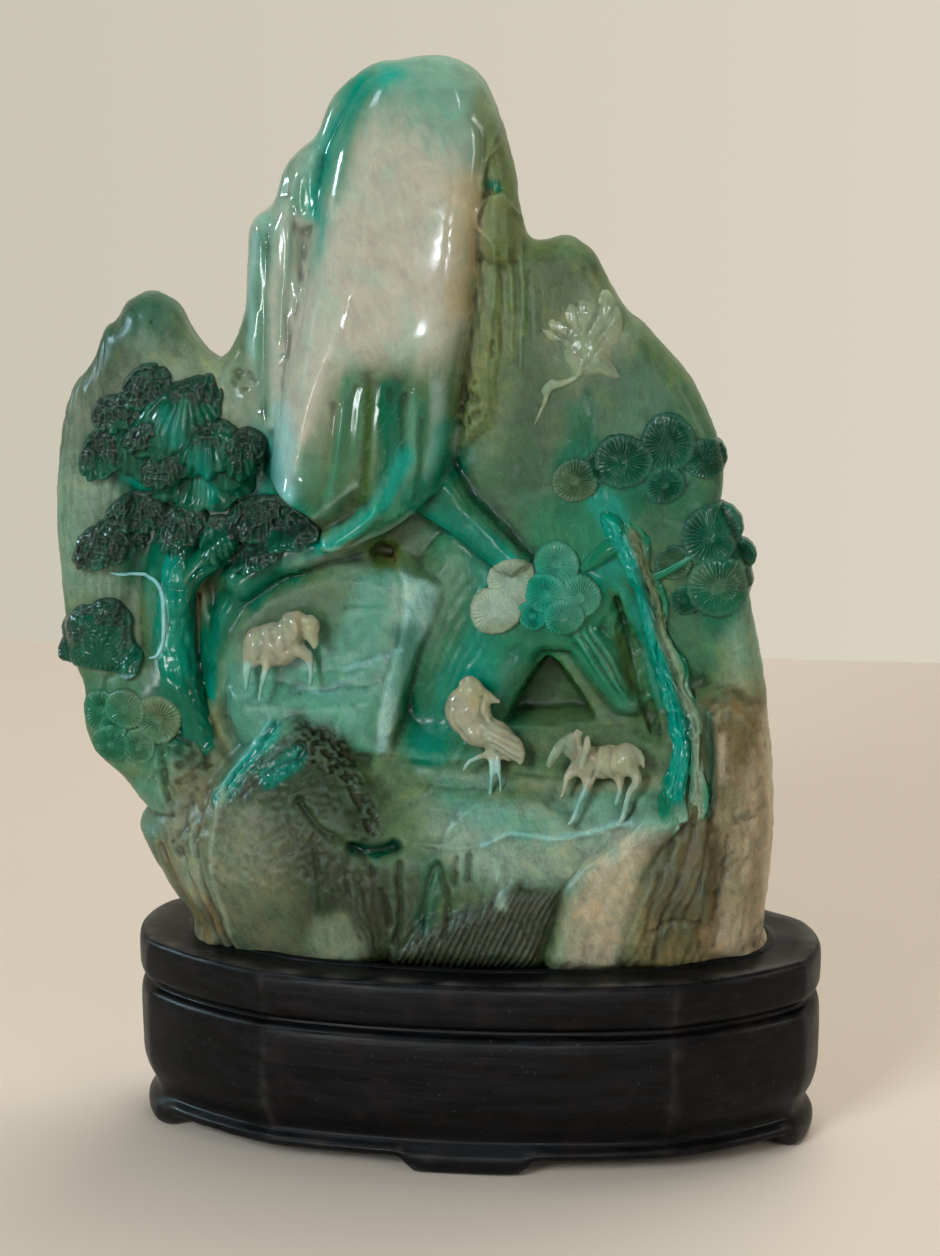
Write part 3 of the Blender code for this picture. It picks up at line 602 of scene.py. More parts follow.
# Ruled areas: depth, spacing, lean of the lines to the right in degrees, how wavy they are, outline.
RULED = {
    "striped rock": (0.42, 1.3, 24, 0.5, BLOCKS["striped rock"][-1]),
    "leaf": (0.8, 2.0, -32, 0.2, BLOCKS["grooved leaf"][-1]),
    "left columns": (0.12, 3.2, 6, 0.6, ((-42, 200), (-26, 216), (-26, 196), (-30, 150), (-40, 150))),
    "veil": (0.08, 2.6, 26, 2.2, BLOCKS["veil"][-1]),
    "brown foot": (0.22, 2.1, 16, 2.4, BLOCKS["brown foot"][-1]),
    "cliff": (0.2, 2.6, 4, 2.6, BLOCKS["right cliff"][-1]),
    "left slope": (0.25, 2.3, -18, 2.2, ((-66, 68), (-50, 72), (-46, 60), (-40, 38), (-56, 38))),
    "terrace front": (0.2, 2.6, 4, 2.4, ((-14, 64), (20, 64), (24, 58), (22, 50), (-12, 40))),
    "terrace top": (0.04, 1.5, 88, 0.8, ((-13, 92), (50, 92), (50, 78), (-13, 74))),
    "strip": (0.14, 1.3, -4, 0.4, BLOCKS["strip"][-1]),
    "right wall": (0.1, 2.4, -8, 1.6, ((16, 196), (34, 190), (56, 150), (40, 136), (20, 150))),
    "middle wall": (0.14, 2.2, 24, 1.4, ((-6, 132), (12, 124), (12, 96), (0, 90), (-6, 104), (3, 122))),
    "boulder foot": (0.18, 1.9, -8, 2.4, ((-24, 66), (-12, 60), (-11, 40), (-20, 40), (-26, 52))),
    "left flank": (0.22, 2.0, 3, 1.8, ((-84, 170), (-70, 176), (-66, 140), (-68, 118), (-84, 116))),
    "opening": (0.35, 2.2, -14, 1.0, HOLLOWS["tall opening"][-1]),
}

# Pitted areas, as moss is cut: depth, size of a pit, outline.
PITTED = {
    "moss ridge": (0.8, 1.0, ((-31, 96.4), (-24, 94.4), (-19.4, 91), (-15.6, 84), (-12.4, 78), (-10.8, 71.6),
        (-15.4, 70.6), (-16.6, 76), (-19.6, 82), (-24, 84.8), (-30, 87))),
    "strip moss": (0.6, 1.2, ((9.6, 179), (13, 178), (12.4, 171.6), (9, 170.6))),
    "strip moss low": (0.6, 1.2, ((4.2, 168.6), (9.6, 169), (8.6, 160), (4.4, 152.6), (2.6, 156))),
    "saddle tuft": (0.6, 1.2, ((-43.6, 169.6), (-38.6, 170.6), (-37.4, 166), (-41, 163), (-44, 166))),
    "root": (0.6, 1.6, ((-57, 104), (-50, 96), (-47, 84), (-56, 76), (-63, 80), (-60, 92))),
    "mound": (0.2, 1.0, BLOCKS["mound"][-1]),
    "cliff": (0.2, 1.7, BLOCKS["right cliff"][-1]),
    "dark hollow": (0.5, 1.6, HOLLOWS["dark hollow"][-1]),
    "left notch": (0.4, 1.4, ((-60, 78), (-52, 82), (-48, 72), (-52, 60), (-60, 68))),
}
POLISHED = (
    (-26, 226), (-6, 234), (9, 228), (9, 200), (6, 178), (2, 150), (-30, 136), (-37, 143), (-43, 150),
    (-43, 196), (-36, 208),
)
# Layers of lumps, as (height, size, seed): the stone's own unevenness, and tool marks on its back.
STONE_LUMPS = ((0.25, 5.0, 1), (0.14, 2.2, 2), (0.1, 1.1, 4))
TOOL_MARKS, BACK_LUMPS = ((0.3, 4.0, 12),), ((0.5, 11.0, 14),)
MARK_STRETCH = (1.0, 0.5, 0.35)
LINE_REACH = 2.6  # how many half widths from its middle a cut line has ended
LINE_WAVES = ((0.35, 4.0, 3),)
RULED_EDGE, RULED_SHARP = 1.2, 1.6
PIT_EDGE, PIT_FADE = 1.5, (-0.15, 0.35)
# Where the front's carving ends at the sides, by the y of the normal and of the point itself.
FRONT_NORMAL, FRONT_SIDE = (0.25, -0.15), (3, -1)
POLISH_EDGE, POLISH = 2, 0.9
ROUGHNESS, MARKS_FADE = 0.6, (47, 56)


def ruled_depth(at, depth, spacing, lean, wavy, outline):
    x, z = at[:, 0], at[:, 2]
    across, _ = turned(x, z, outline[0], lean)
    across += wavy * lumps(at, 7.0, 5)
    inside = smooth_step(0.0, RULED_EDGE, inside_depth(x, z, outline))
    return depth * inside * (0.5 + 0.5 * np.cos(FULL_TURN * across / spacing)) ** RULED_SHARP


def carve_details(piece):
    """Cuts the lines, ruled areas and moss into the front, and leaves a few tool marks on the back."""
    at = points_of(piece) / MM
    x, z = at[:, 0], at[:, 2]
    normal = points_of(piece, "normal")
    front = smooth_step(*FRONT_NORMAL, normal[:, 1]) * smooth_step(*FRONT_SIDE, at[:, 1])
    depth = np.zeros(len(at))
    wavy = layered_lumps(at, LINE_WAVES)
    for cut, half, routes in LINES.values():
        for route in routes:
            away = away_from_route(x + wavy, z, smooth_route(route, 4)) / half
            depth = np.where(away < LINE_REACH, depth + cut * bell(away), depth)
    for ruled in RULED.values():
        depth += ruled_depth(at, *ruled)
    for cut, size, outline in PITTED.values():
        inside = smooth_step(0.0, PIT_EDGE, inside_depth(x + wavy * 2, z, outline))
        depth += cut * inside * smooth_step(*PIT_FADE, lumps(at, size, 9))
    polished = smooth_step(-POLISH_EDGE, POLISH_EDGE, inside_depth(x, z, POLISHED))
    rough = layered_lumps(at, STONE_LUMPS) * (1 - POLISH * polished * front)
    marks = layered_lumps(at * MARK_STRETCH, TOOL_MARKS) + layered_lumps(at, BACK_LUMPS)
    marks = (1 - front) * marks * smooth_step(*MARKS_FADE, z)
    pushed(piece, -depth * front - rough * ROUGHNESS + marks)


def make_slab(name):
    """A thin slab in the stone's outline, finely meshed."""
    ring = smooth_route(OUTLINE, 4, closed=True)
    adder = bpy.ops.mesh.primitive_circle_add
    piece = new_piece(name, adder, vertices=len(ring), radius=0.1, fill_type="NGON")
    put_points(piece, np.stack((ring[:, 0], np.full(len(ring), SLAB_THIN), ring[:, 1]), axis=1))
    bpy.ops.object.mode_set(mode="EDIT")
    bpy.ops.mesh.select_all(action="SELECT")
    bpy.ops.mesh.extrude_region_move(TRANSFORM_OT_translate={"value": (0, -2 * SLAB_THIN * MM, 0)})
    bpy.ops.mesh.select_all(action="SELECT")
    bpy.ops.mesh.normals_make_consistent(inside=False)
    bpy.ops.object.mode_set(mode="OBJECT")
    remeshed(piece, fineness("slab"))
    return piece


def make_stone(name):
    """The mountain: a slab in its outline, drawn out to the front and back, remeshed and carved."""
    piece = make_slab(name)
    at = points_of(piece) / MM
    x, z = at[:, 0], at[:, 2]
    side = np.clip(at[:, 1] / SLAB_THIN, -1, 1)
    at[:, 1] = side * rim_rounded(x, z, np.where(side < 0, front_reach(x, z), back_reach(x, z)))
    past_room = np.hypot((x - SOCKET_CENTRE) / SOCKET_ROOM[0], at[:, 1] / SOCKET_ROOM[1]) - 1
    at[:, 1] /= 1 + smooth_step(*SOCKET_FADE, z) * np.clip(past_room, 0, FAR)
    put_points(piece, at)
    remeshed(piece, fineness("stone"), 3)
    carve_details(piece)
    share = bpy.context.scene.carving_sizes.triangles / (len(piece.data.polygons) * 2)
    with_modifier(piece, "DECIMATE", ratio=min(1.0, share), use_collapse_triangulate=True)
    bpy.ops.object.shade_smooth()
    return piece


# ---- pines, discs and animals ----

# The left pine's umbrellas: height, how far down the brown skin goes, left, top, right and low end.
CAPS = (
    (2.4, 0.85, (-66.7, 163.9), (-60.6, 170.3), (-56.0, 166.0), (-61.7, 160.4)),
    (2.6, 0.7, (-73.4, 158.2), (-68.6, 163.6), (-62.0, 160.6), (-67.6, 155.4)),
    (2.6, 0.55, (-76.4, 147.4), (-71.6, 156.4), (-64.6, 153.0), (-70.0, 145.6)),
    (2.4, 0.0, (-69.8, 152.0), (-64.0, 158.0), (-58.0, 153.0), (-62.0, 144.6)),
    (3.4, 0.2, (-66.1, 154.0), (-52.6, 167.2), (-46.2, 160.5), (-55.4, 150.6)),
    (4.2, 0.9, (-66.8, 153.6), (-61.0, 159.2), (-54.4, 160.4), (-60.0, 152.8)),
    (2.6, 0.0, (-63.1, 147.4), (-49.3, 155.9), (-38.6, 149.0), (-50.4, 137.9)),
    (4.6, 0.24, (-55.2, 152.6), (-48.3, 158.6), (-42.2, 154.8), (-49.0, 145.6)),
    (4.8, 0.65, (-45.4, 152.0), (-40.6, 156.8), (-36.4, 152.6), (-41.6, 145.6)),
    (4.8, 0.75, (-63.2, 146.4), (-57.6, 152.6), (-52.0, 148.6), (-57.8, 143.6)),
    (3.4, 0.9, (-71.4, 136.6), (-63.6, 142.4), (-57.8, 137.0), (-63.6, 133.4)),
    (3.0, 0.9, (-78.6, 127.4), (-71.4, 136.2), (-62.6, 132.0), (-70.2, 126.2)),
    (3.8, 0.85, (-61.0, 133.4), (-55.1, 140.4), (-49.8, 136.3), (-55.4, 129.8)),
    (3.0, 0.1, (-51.6, 133.4), (-47.6, 137.4), (-42.6, 134.0), (-47.2, 127.2)),
    (3.8, 0.8, (-45.6, 135.2), (-36.0, 142.2), (-24.9, 135.7), (-34.7, 131.2)),
    (3.4, 0.8, (-44.8, 128.8), (-39.2, 132.8), (-32.6, 131.4), (-39.9, 126.2)),
)
CAP_RIBS, CAP_LOBES = 44, 5
CAP_PAST = 1.1  # how far past its ends a cap is worked out, as a part of its size
CAP_ROLL = 0.86  # where the rolled edge runs, from the cap's middle to its ends
NEEDLE_BANKS = (((-80.5, 123.5), (-23.5, 172)), ((-84.6, 99.4), (-61.4, 120.8)))  # low and high corners
SUNK, SKIRT = 1.4, 3.0
# The big needle cloud at the left edge, and the middles of the fans in it.
NEEDLE_CLOUD = (
    2.8, ((-83.6, 107.0), (-81.4, 113.9), (-76.8, 117.5), (-72.6, 119.0), (-69.1, 118.1), (-66.4, 114.1),
    (-67.4, 111.2), (-64.7, 107.3), (-65.2, 102.6), (-70.2, 102.0), (-77.4, 102.8), (-82.5, 103.8)),
)
CLOUD_FANS = ((-73.2, 107.0), (-68.0, 111.7), (-77.6, 111.2), (-79.4, 104.8), (-72.4, 115.6), (-66.6, 104.4))
CLOUD_SKIN_HEIGHT, CLOUD_SKIN_LEAN = 110, 0.4
# Needle discs: middle, radius, height, turn of the needles, and a share of the usual cut where it is less.
DISCS = {
    "right_pine_discs": (
        ((28.2, 146.7), 5.0, 0.7, 8),
        ((33.4, 149.8), 3.4, 0.9, 30),
        ((47.2, 155.0), 6.3, 1.2, 20),
        ((55.0, 151.6), 4.6, 0.9, 40),
        ((38.1, 151.1), 6.2, 1.4, 0),
        ((46.8, 146.4), 4.3, 1.5, 75),
        ((56.6, 135.6), 6.7, 1.3, 12),
        ((48.9, 129.7), 4.0, 0.9, 33),
        ((51.4, 121.6), 3.4, 0.8, 60),
        ((58.4, 124.8), 7.0, 1.2, 50),
        ((63.0, 130.4), 3.4, 1.5, 70),
    ),
    "middle_pine_discs": (
        ((24.6, 129.0), 4.9, 1.5, 15),
        ((22.4, 123.0), 4.6, 1.2, 44),
        ((29.7, 122.2), 4.6, 1.4, 70),
        ((19.6, 118.0), 3.4, 0.9, 5),
        ((26.2, 118.0), 4.4, 1.6, 25),
    ),
    "left_pine_discs": (
        ((-60.9, 93.0), 5.4, 0.9, 30),
        ((-65.3, 86.8), 4.0, 0.8, 20),
        ((-71.2, 90.2), 3.4, 0.8, 50),
        ((-73.9, 93.9), 4.6, 1.0, 12),
        ((-68.1, 95.0), 4.7, 1.4, 40),
        ((-71.4, 87.0), 4.5, 1.1, 65),
    ),
    "pale_discs": (((11.7, 118.7), 5.4, 1.8, 0, 0.3), ((15.2, 125.1), 5.5, 1.5, 22, 0.5)),
}
DISC_STEPS, DISC_RINGS, NEEDLES = 240, 16, 30
DISC_SUNK = 1.6
# A disc's section: place across the grid, how far out it lies, and how far below the rim it has gone.
DISC_SECTION = ((0, 0, 0), (0.8, 1, 0), (0.9, 0.97, 1), (1, 0, 1))
DISC_LEVEL = (0.7, 0.3)  # how much of its base follows the stone, and how much is level with its middle
DOME_POWER, DOME_ROOT = 2.6, 0.6

# Trunks and branches: how deep the bark is cut, and rows of (x, z, height above the stone, radius).
TRUNKS = {
    "left_pine_wood": (
        (0.4, ((-54.4, 134, -2.2, 3.6), (-56.6, 126, -2.4, 4.4), (-57.6, 118, -2.6, 4.8),
            (-58.4, 109, -2.8, 5.2), (-57, 99.6, -2.9, 5.4), (-53.6, 91, -3.2, 5.0),
            (-50, 83.6, -3.8, 4.4))),
        (0.04, ((-71, 124.6, 0.1, 0.25), (-68.3, 124, 0.5, 0.34), (-62.8, 123.8, 0.8, 0.42),
            (-60.3, 122.3, 1.0, 0.46), (-59.2, 118.8, 1.2, 0.5), (-59.4, 111, 1.2, 0.46),
            (-60.8, 107, 0.8, 0.4), (-63, 106, 0.3, 0.25))),
        (0.08, ((-43.6, 127.6, 0.0, 0.8), (-47.4, 126.8, 0.2, 1.1), (-51.4, 124.6, 0.2, 1.4),
            (-54.4, 119.6, 0.0, 1.5), (-56.4, 113, -0.6, 1.4))),
    ),
    "right_pine_wood": (
        (1.5, ((33.4, 141, -1.2, 1.4), (36.4, 137, 0.0, 2.1), (38.0, 133, 0.6, 1.6), (41.2, 128, 0.7, 2.3),
            (43, 121.9, 0.9, 1.8), (45, 113, 1.2, 2.1), (47.1, 106.2, 1.3, 1.9), (49.7, 98.5, 1.2, 2.2),
            (51.2, 90, 1.0, 1.9), (50.2, 83, 0.6, 2.5), (49.2, 76.6, -1.8, 2.4), (48.6, 71, -5, 2.0))),
        (1.7, ((38.4, 138.6, -0.8, 1.2), (41.0, 134.4, 0.4, 1.9), (42.8, 128, 0.9, 1.5),
            (46.0, 121, 0.7, 1.8), (46.2, 114.4, 1.2, 1.4), (49.6, 107.6, 1.1, 1.9), (51.2, 101.6, 1.7, 1.6),
            (54.4, 95, 1.4, 2.1), (54.4, 88, 1.2, 1.7), (55.6, 81, 0.2, 2.0), (54.8, 76, -1.8, 2.0),
            (55, 71, -5, 1.8))),
        (1.3, ((36.6, 139, -0.4, 1.2), (41, 131, 1.4, 1.3), (42.8, 123.6, 1.8, 1.2), (46.4, 114.6, 1.9, 1.1),
            (47.6, 107, 2.2, 1.2), (52, 98.6, 2.3, 1.4), (52.6, 90, 1.9, 1.5), (51, 82, 1.2, 1.4),
            (52.6, 74, -2.4, 1.6))),
        (0.3, ((41.6, 125, 0.6, 1.2), (47, 127.6, 0.6, 1.0), (51.6, 130.4, 0.4, 0.8), (55, 133, 0.1, 0.6))),
        (0.3, ((29.4, 127.4, -0.4, 1.2), (32.4, 129.6, 0.2, 1.8), (35.6, 132.4, 0.3, 2.0),
            (38.6, 134, 0.2, 1.8))),
    ),
}
TRUNK_STEPS, TRUNK_RING = 56, 0.34
BARK_LUMPS = ((4 / 7, 2.0, 61), (2 / 7, 1.0, 62))

# Animals: balls of (middle x, y, z, half sizes, lean), limbs of rows (x, y, z, radius), and then the depth,
# half width and routes of the lines cut in them.
ANIMALS = {
    "sheep": (
        (
            ((-34.6, -11.2, 111.0), (6.0, 3.2, 4.9), -3),
            ((-38.8, -11.2, 110.4), (2.8, 2.9, 4.6), 4),
            ((-31.0, -11.8, 114.0), (3.4, 3.2, 4.0), 8),
            ((-30.4, -12.4, 116.4), (3.2, 2.6, 2.4), -8),
            ((-27.0, -13.2, 115.4), (2.2, 2.0, 2.9), 14),
        ),
        (
            ((-26.4, -13.8, 114.0, 1.5), (-25.8, -14.2, 112.2, 1.1), (-26.0, -14.2, 111.4, 0.6)),
            ((-30.4, -14.2, 117.6, 0.7), (-29.6, -15.2, 115.8, 0.9), (-29.8, -15.0, 113.4, 0.6)),
            ((-29.6, -12.4, 110.6, 2.0), (-28.0, -12.8, 109.4, 1.4), (-27.2, -13.0, 108.2, 1.0)),
            ((-27.4, -12.8, 109.6, 1.1), (-26.9, -13.2, 106.6, 0.75), (-26.9, -13.6, 103.0, 0.6)),
            ((-40, -11.8, 109, 1.7), (-40.6, -12.6, 106.4, 1.0), (-40.6, -13.6, 101.6, 0.6)),
            ((-36.2, -12.4, 108.6, 1.7), (-36.4, -13.4, 106.2, 0.9), (-37.2, -14.2, 103, 0.7),
                (-37.8, -14.6, 99.6, 0.5)),
        ),
        (
            0.34,
            0.5,
            (((-33.4, 118), (-33, 114.6), (-32, 110.6)), ((-37.6, 114.6), (-37, 111), (-38, 108)),
                ((-28.6, 117.8), (-28.2, 114.6), (-28.6, 112)), ((-35.4, 115), (-34.6, 112.6)), ((-35, 110),
                (-33.8, 108))),
        ),
    ),
    "horse": (
        (
            ((35.6, -13.4, 87.6), (5.8, 3.4, 3.7), -3),
            ((40.0, -13.2, 88.6), (2.9, 3.2, 3.3), 0),
            ((31.2, -14, 87.8), (3.0, 3.3, 3.9), 0),
            ((28.6, -14.4, 91.2), (2.6, 2.4, 3.0), -30),
        ),
        (
            ((29.0, -14.6, 92.8, 1.7), (26.6, -15.2, 91.6, 1.5), (24.8, -15.8, 89.4, 1.2),
                (23.8, -16.2, 87.6, 0.9)),
            ((30.4, -14.6, 94.2, 0.6), (29.4, -15.2, 95.0, 0.5)),
            ((31.8, -16.4, 93.6, 0.8), (31.4, -17.2, 90.4, 0.9), (30.4, -17.2, 87.4, 0.7)),
            ((41.4, -13.8, 90.8, 0.9), (43.0, -14.4, 89.4, 0.8), (43.6, -14.8, 87.0, 0.4)),
            ((40, -14, 87, 2.2), (42.2, -15.4, 84.4, 1.2), (40.6, -16.6, 81.4, 0.8),
                (39.6, -17.8, 77.0, 0.7), (38.8, -18.2, 76.0, 0.5)),
            ((37.8, -14, 86, 1.6), (38.8, -15.2, 83, 0.8), (37.9, -16.6, 79.4, 0.6)),
            ((32.0, -14.6, 85.6, 2.0), (31.8, -16.0, 83, 1.1), (30.4, -16.8, 80, 0.75),
                (29.2, -18.0, 76.6, 0.6), (28.0, -18.4, 75.2, 0.55)),
            ((29.6, -15, 87, 1.6), (27.6, -15.6, 84.6, 0.9), (27.0, -16.2, 82, 0.6),
                (26.4, -16.6, 80.6, 0.45)),
        ),
        (
            0.34,
            0.42,
            (((33.4, 92), (33.8, 88.6), (33.0, 85)), ((37, 91), (36.8, 87.4), (37.8, 84.6)), ((29.4, 93),
                (29.6, 90), (28.6, 88)), ((27.2, 91.6), (26.6, 89.6)), ((25.0, 88.6), (24.4, 87.8)),
                ((34.6, 86), (36, 84.6))),
        ),
    ),
    "rooster": (
        (
            ((6.0, -11.6, 97.4), (4.6, 3.6, 5.6), -8),
            ((7.0, -11.8, 102.4), (2.7, 2.3, 2.4), 0),
            ((8.2, -12, 93.2), (4.4, 3.4, 3.2), 24),
            ((12.6, -12.4, 92.6), (4.4, 3.0, 3.0), 36),
            ((15.2, -12.8, 90.0), (3.2, 2.2, 3.0), 30),
        ),
        (
            ((8.6, -12, 101.6, 1.8), (11.0, -12.4, 100.6, 1.2), (13.0, -12.6, 100.0, 0.45)),
            ((9.2, -12.2, 99.6, 1.6), (9.8, -12.2, 97.2, 1.6), (10.8, -12.2, 95, 1.4)),
            ((5.0, -12, 103.6, 0.8), (6.6, -12, 104.8, 0.8), (8.6, -12, 103.8, 0.6)),
            ((15.4, -13, 91, 1.8), (17.2, -13.4, 89.0, 1.5), (17.6, -13.8, 87.2, 0.8)),
            ((11, -13, 90.4, 1.2), (11.6, -14.4, 86, 0.7), (11.4, -15.8, 81.0, 0.55),
                (11.8, -16.4, 78.6, 0.45)),
            ((12.4, -13.4, 89.6, 0.9), (13.2, -14.8, 85, 0.5), (13.6, -15.8, 79.6, 0.45)),
            ((10.6, -13.6, 88.6, 0.8), (8.6, -14.4, 88.2, 0.6), (6.6, -14.8, 87.2, 0.55),
                (5.6, -15.2, 85.4, 0.4)),
        ),
        (
            0.35,
            0.36,
            (((11.6, 96.4), (16.4, 93.8)), ((11.2, 94.8), (17.4, 91.6)), ((11, 93.0), (17.6, 89.6)),
                ((11.6, 91.4), (17.4, 87.8)), ((12.4, 89.6), (15.6, 87.4)), ((9.6, 101), (9.2, 98),
                (10.6, 95.4)), ((3.4, 99), (3.6, 95.4), (6.4, 92.2)), ((9.6, 101.6), (9.2, 101))),
        ),
    ),
    "crane": (
        (
            ((30.4, -6.6, 173.4), (5.4, 1.9, 5.4), 24),
            ((34.8, -6.2, 180), (2.7, 1.5, 6.6), -10),
            ((23.6, -6.2, 177.4), (3.8, 1.3, 4.4), 10),
            ((29, -6.4, 180.4), (4.6, 1.3, 4.6), 0),
        ),
        (
            ((32, -6.8, 172, 2.2), (35.6, -6.4, 169.4, 1.7), (39.0, -5.8, 167.8, 0.8)),
            ((29.6, -7.4, 171, 1.3), (28, -7.6, 168.4, 0.8), (25.2, -7.6, 167.0, 0.9),
                (23.2, -7.6, 166.8, 1.3), (21.8, -7.6, 165.4, 1.0)),
            ((22.6, -7.6, 166, 0.9), (21.6, -7.4, 162.6, 0.6), (19.6, -7.2, 158.2, 0.35)),
        ),
        (
            0.3,
            0.4,
            (((30.4, 177.4), (34.0, 186)), ((32.4, 176), (36.4, 183.4)), ((26.6, 174), (21, 176.6)),
                ((26.6, 176), (21.4, 179)), ((27, 178.6), (23.6, 181.6)), ((29, 178), (28, 184)),
                ((33.4, 172.4), (38, 168.6)), ((30, 170.6), (34, 176.6))),
        ),
    ),
}
ANIMAL_LUMPS = ((-0.1, 1.4, 40), (-0.06, 0.8, 41))
BALL_STEPS, BALL_RINGS, TUBE_STEPS, TUBE_RINGS = 40, 24, 20, 40
TUBE_CAP = 0.12  # the part of a limb's grid that makes each of its round ends


def flat_dome(spread):
    """1 over a wide middle, falling off to 0 at the rim."""
    return (1 - np.clip(spread, 0, 1) ** DOME_POWER) ** DOME_ROOT


def raised_shape(name, outline, high, across, down, relief):
    """A closed shape on the stone's front: domed in its outline, with a skirt that goes into the stone."""
    ring = smooth_route(outline, 6, closed=True)
    ring = np.vstack((ring, ring[:1]))
    middle = ring[:-1].mean(axis=0)

    def place(u, v):
        spread, below = table_at(DISC_SECTION, v)
        at = middle + (along_line(ring, u) - middle) * spread[:, None]
        dome = flat_dome(spread) * (1 - below)
        lift = high * (0.45 + 0.55 * dome) + relief(u * FULL_TURN, spread, at) * (1 - below)
        base = DISC_LEVEL[0] * stone_front(at[:, 0], at[:, 1]) + DISC_LEVEL[1] * stone_front(*middle[:, None])
        return np.stack((at[:, 0], -np.where(below > 0, base - DISC_SUNK, base + lift), at[:, 1]), axis=1)

    return shaped_grid(name, across, down, place)


def needle_disc(middle, radius, high, turn, cut=1.0):
    """A flat rosette of needles, with fine cuts from its middle star to its scalloped rim."""
    angles = np.radians(np.arange(0, 360, 4))
    scallops = 0.012 * np.cos(15 * angles + turn) + 0.04 * np.cos(2 * angles + turn * 3)
    wide = radius * (1 + scallops + 0.03 * np.cos(3 * angles + turn))
    outline = np.stack((middle[0] + wide * np.cos(angles), middle[1] + wide * np.sin(angles)), axis=1)

    def relief(angle, spread, at):
        points = np.stack((at[:, 0], np.zeros(len(at)), at[:, 1]), axis=1)
        wander = 1.2 * spread + 0.7 * lumps(points, 2.5, turn + 2)
        needles = 0.5 + 0.5 * np.cos(NEEDLES * angle + turn + wander)
        share = smooth_step(0.12, 0.34, spread) * (1 - 0.6 * smooth_step(0.66, 0.72, spread))
        share *= 1 - smooth_step(0.9, 0.98, spread)
        grooves = 0.36 * needles**2 * share * (0.8 + 0.6 * lumps(points, 2.0, turn))
        rings = 0.14 * bell((spread - 0.7) / 0.04) + 0.2 * (1 - smooth_step(0.05, 0.14, spread))
        return 0.35 * lumps(points, 2.8, turn + 7) - cut * (grooves + rings)

    return raised_shape("disc", outline, high, DISC_STEPS, DISC_RINGS, relief)


def skewed(x, z, side, up):
    """Places as parts along two directions that needn't be square to each other."""
    area = side[0] * up[1] - side[1] * up[0]
    return (x * up[1] - z * up[0]) / area, (side[0] * z - side[1] * x) / area


def cap_place(at, left, top, right, low):
    """Where places lie in a cap: part of the way out, angle, how far below its middle, and its scallops."""
    middle, side = (left + right) / 2, (right - left) / 2
    x, z = at[:, 0] - middle[0], at[:, 2] - middle[1]
    upper, lower = skewed(x, z, side, top - middle), skewed(x, z, side, middle - low)
    across, up = (np.where(upper[1] > 0, above, under) for above, under in zip(upper, lower))
    angle, below = np.arctan2(up, across), np.clip(-up / np.maximum(np.hypot(across, up), 0.01), 0, 1)
    scallop = np.abs(np.cos(CAP_LOBES * angle + left[0]))
    spread = np.hypot(across, up) / (1 + (0.14 * scallop - 0.08) * smooth_step(0.1, 0.6, below))
    return spread + 0.05 * lumps(at, 1.5, left[0]), angle, below, scallop


def wrinkled(at, seed):
    """The curled skin on the needles."""
    return 0.9 - 1.5 * np.abs(lumps(at, 1.5, seed)) - 1.2 * np.abs(lumps(at, 0.8, seed + 3))


def cap_lift(at, high, skin, left, top, right, low):
    """One umbrella of needles over many places: its height above the stone and its share of brown skin.

    It stands out most near its lower rim, with ribs from its top, a rolled upper edge and a lobed rim.
    """
    left, top, right, low = (np.array(end, float) for end in (left, top, right, low))
    seed, tall = left[0], np.linalg.norm(low - top)
    placed = cap_place(at, left, top, right, low)
    near = placed[0] < CAP_PAST
    at, (spread, angle, below, scallop) = at[near], (values[near] for values in placed)
    along = (low - top) / tall
    from_top = at[:, ::2] - top
    down = from_top @ along / tall
    from_top = from_top + along * 2.0
    fan = np.arctan2(from_top @ np.array((-along[1], along[0])), from_top @ along)
    if skin:
        skin = smooth_step(skin + 0.2, skin - 0.12, down + 0.25 * lumps(at, 2.2, seed))
    lift = high * (0.4 + 0.6 * flat_dome(spread)) + high * 0.5 * (down - 0.5)
    lift += 0.5 * bell((spread - CAP_ROLL) / 0.09) * smooth_step(0.05, 0.5, np.sin(angle))
    lift += 0.5 * bell((spread - CAP_ROLL) / 0.12) * scallop * below
    lift += 0.16 * np.cos(CAP_RIBS * fan + 1.2 * lumps(at, 3.0, seed)) * smooth_step(0.1, 0.5, down)
    lift += 0.5 * lumps(at * (1, 1, 0.5), 2.4, seed + 5) + 0.6 * wrinkled(at, seed) * skin
    outside = smooth_step(0.98, 1.04, spread)
    full_lift, full_skin = np.full(len(near), -SUNK), np.zeros(len(near))
    full_lift[near], full_skin[near] = lift * (1 - outside) - SUNK * outside, skin
    return full_lift, full_skin


def cloud_lift(at, high, outline, fans):
    """A lobed cloud of small fans, each with curled needles, under brown skin at its top."""
    outline = smooth_route(outline, 4, closed=True)
    inside = inside_depth(at[:, 0] + 0.8 * lumps(at, 2.6, 2), at[:, 2] + 0.8 * lumps(at, 2.6, 3), outline)
    away = np.array([np.hypot(at[:, 0] - x, at[:, 2] - z) for x, z in fans])
    nearest, reach = away.argmin(axis=0), away.min(axis=0)
    middles = np.array(fans)[nearest]
    fan = np.arctan2(at[:, 2] - middles[:, 1], at[:, 0] - middles[:, 0])
    up = at[:, 2] - CLOUD_SKIN_HEIGHT - CLOUD_SKIN_LEAN * (at[:, 0] + 74)
    skin = 0.85 * smooth_step(-0.3, 0.4, lumps(at, 2.6, 6) + 0.1 * up)
    curls = np.cos(17 * fan + 1.4 * reach + 2 * nearest + 5 * lumps(at, 2.2, 5))
    curls *= smooth_step(0.5, 1.4, reach)
    lift = high * (0.35 + 0.65 * np.sqrt(1 - (1 - np.clip(inside / 5, 0, 1)) ** 2))
    lift += np.sqrt(np.clip(1 - (reach / 5.5) ** 2, 0, 1)) - 0.6
    lift += 0.13 * curls * (1 - skin) + 0.5 * wrinkled(at, 14) * skin
    outside = smooth_step(0.1, -0.25, inside)
    return lift * (1 - outside) - SUNK * outside, skin


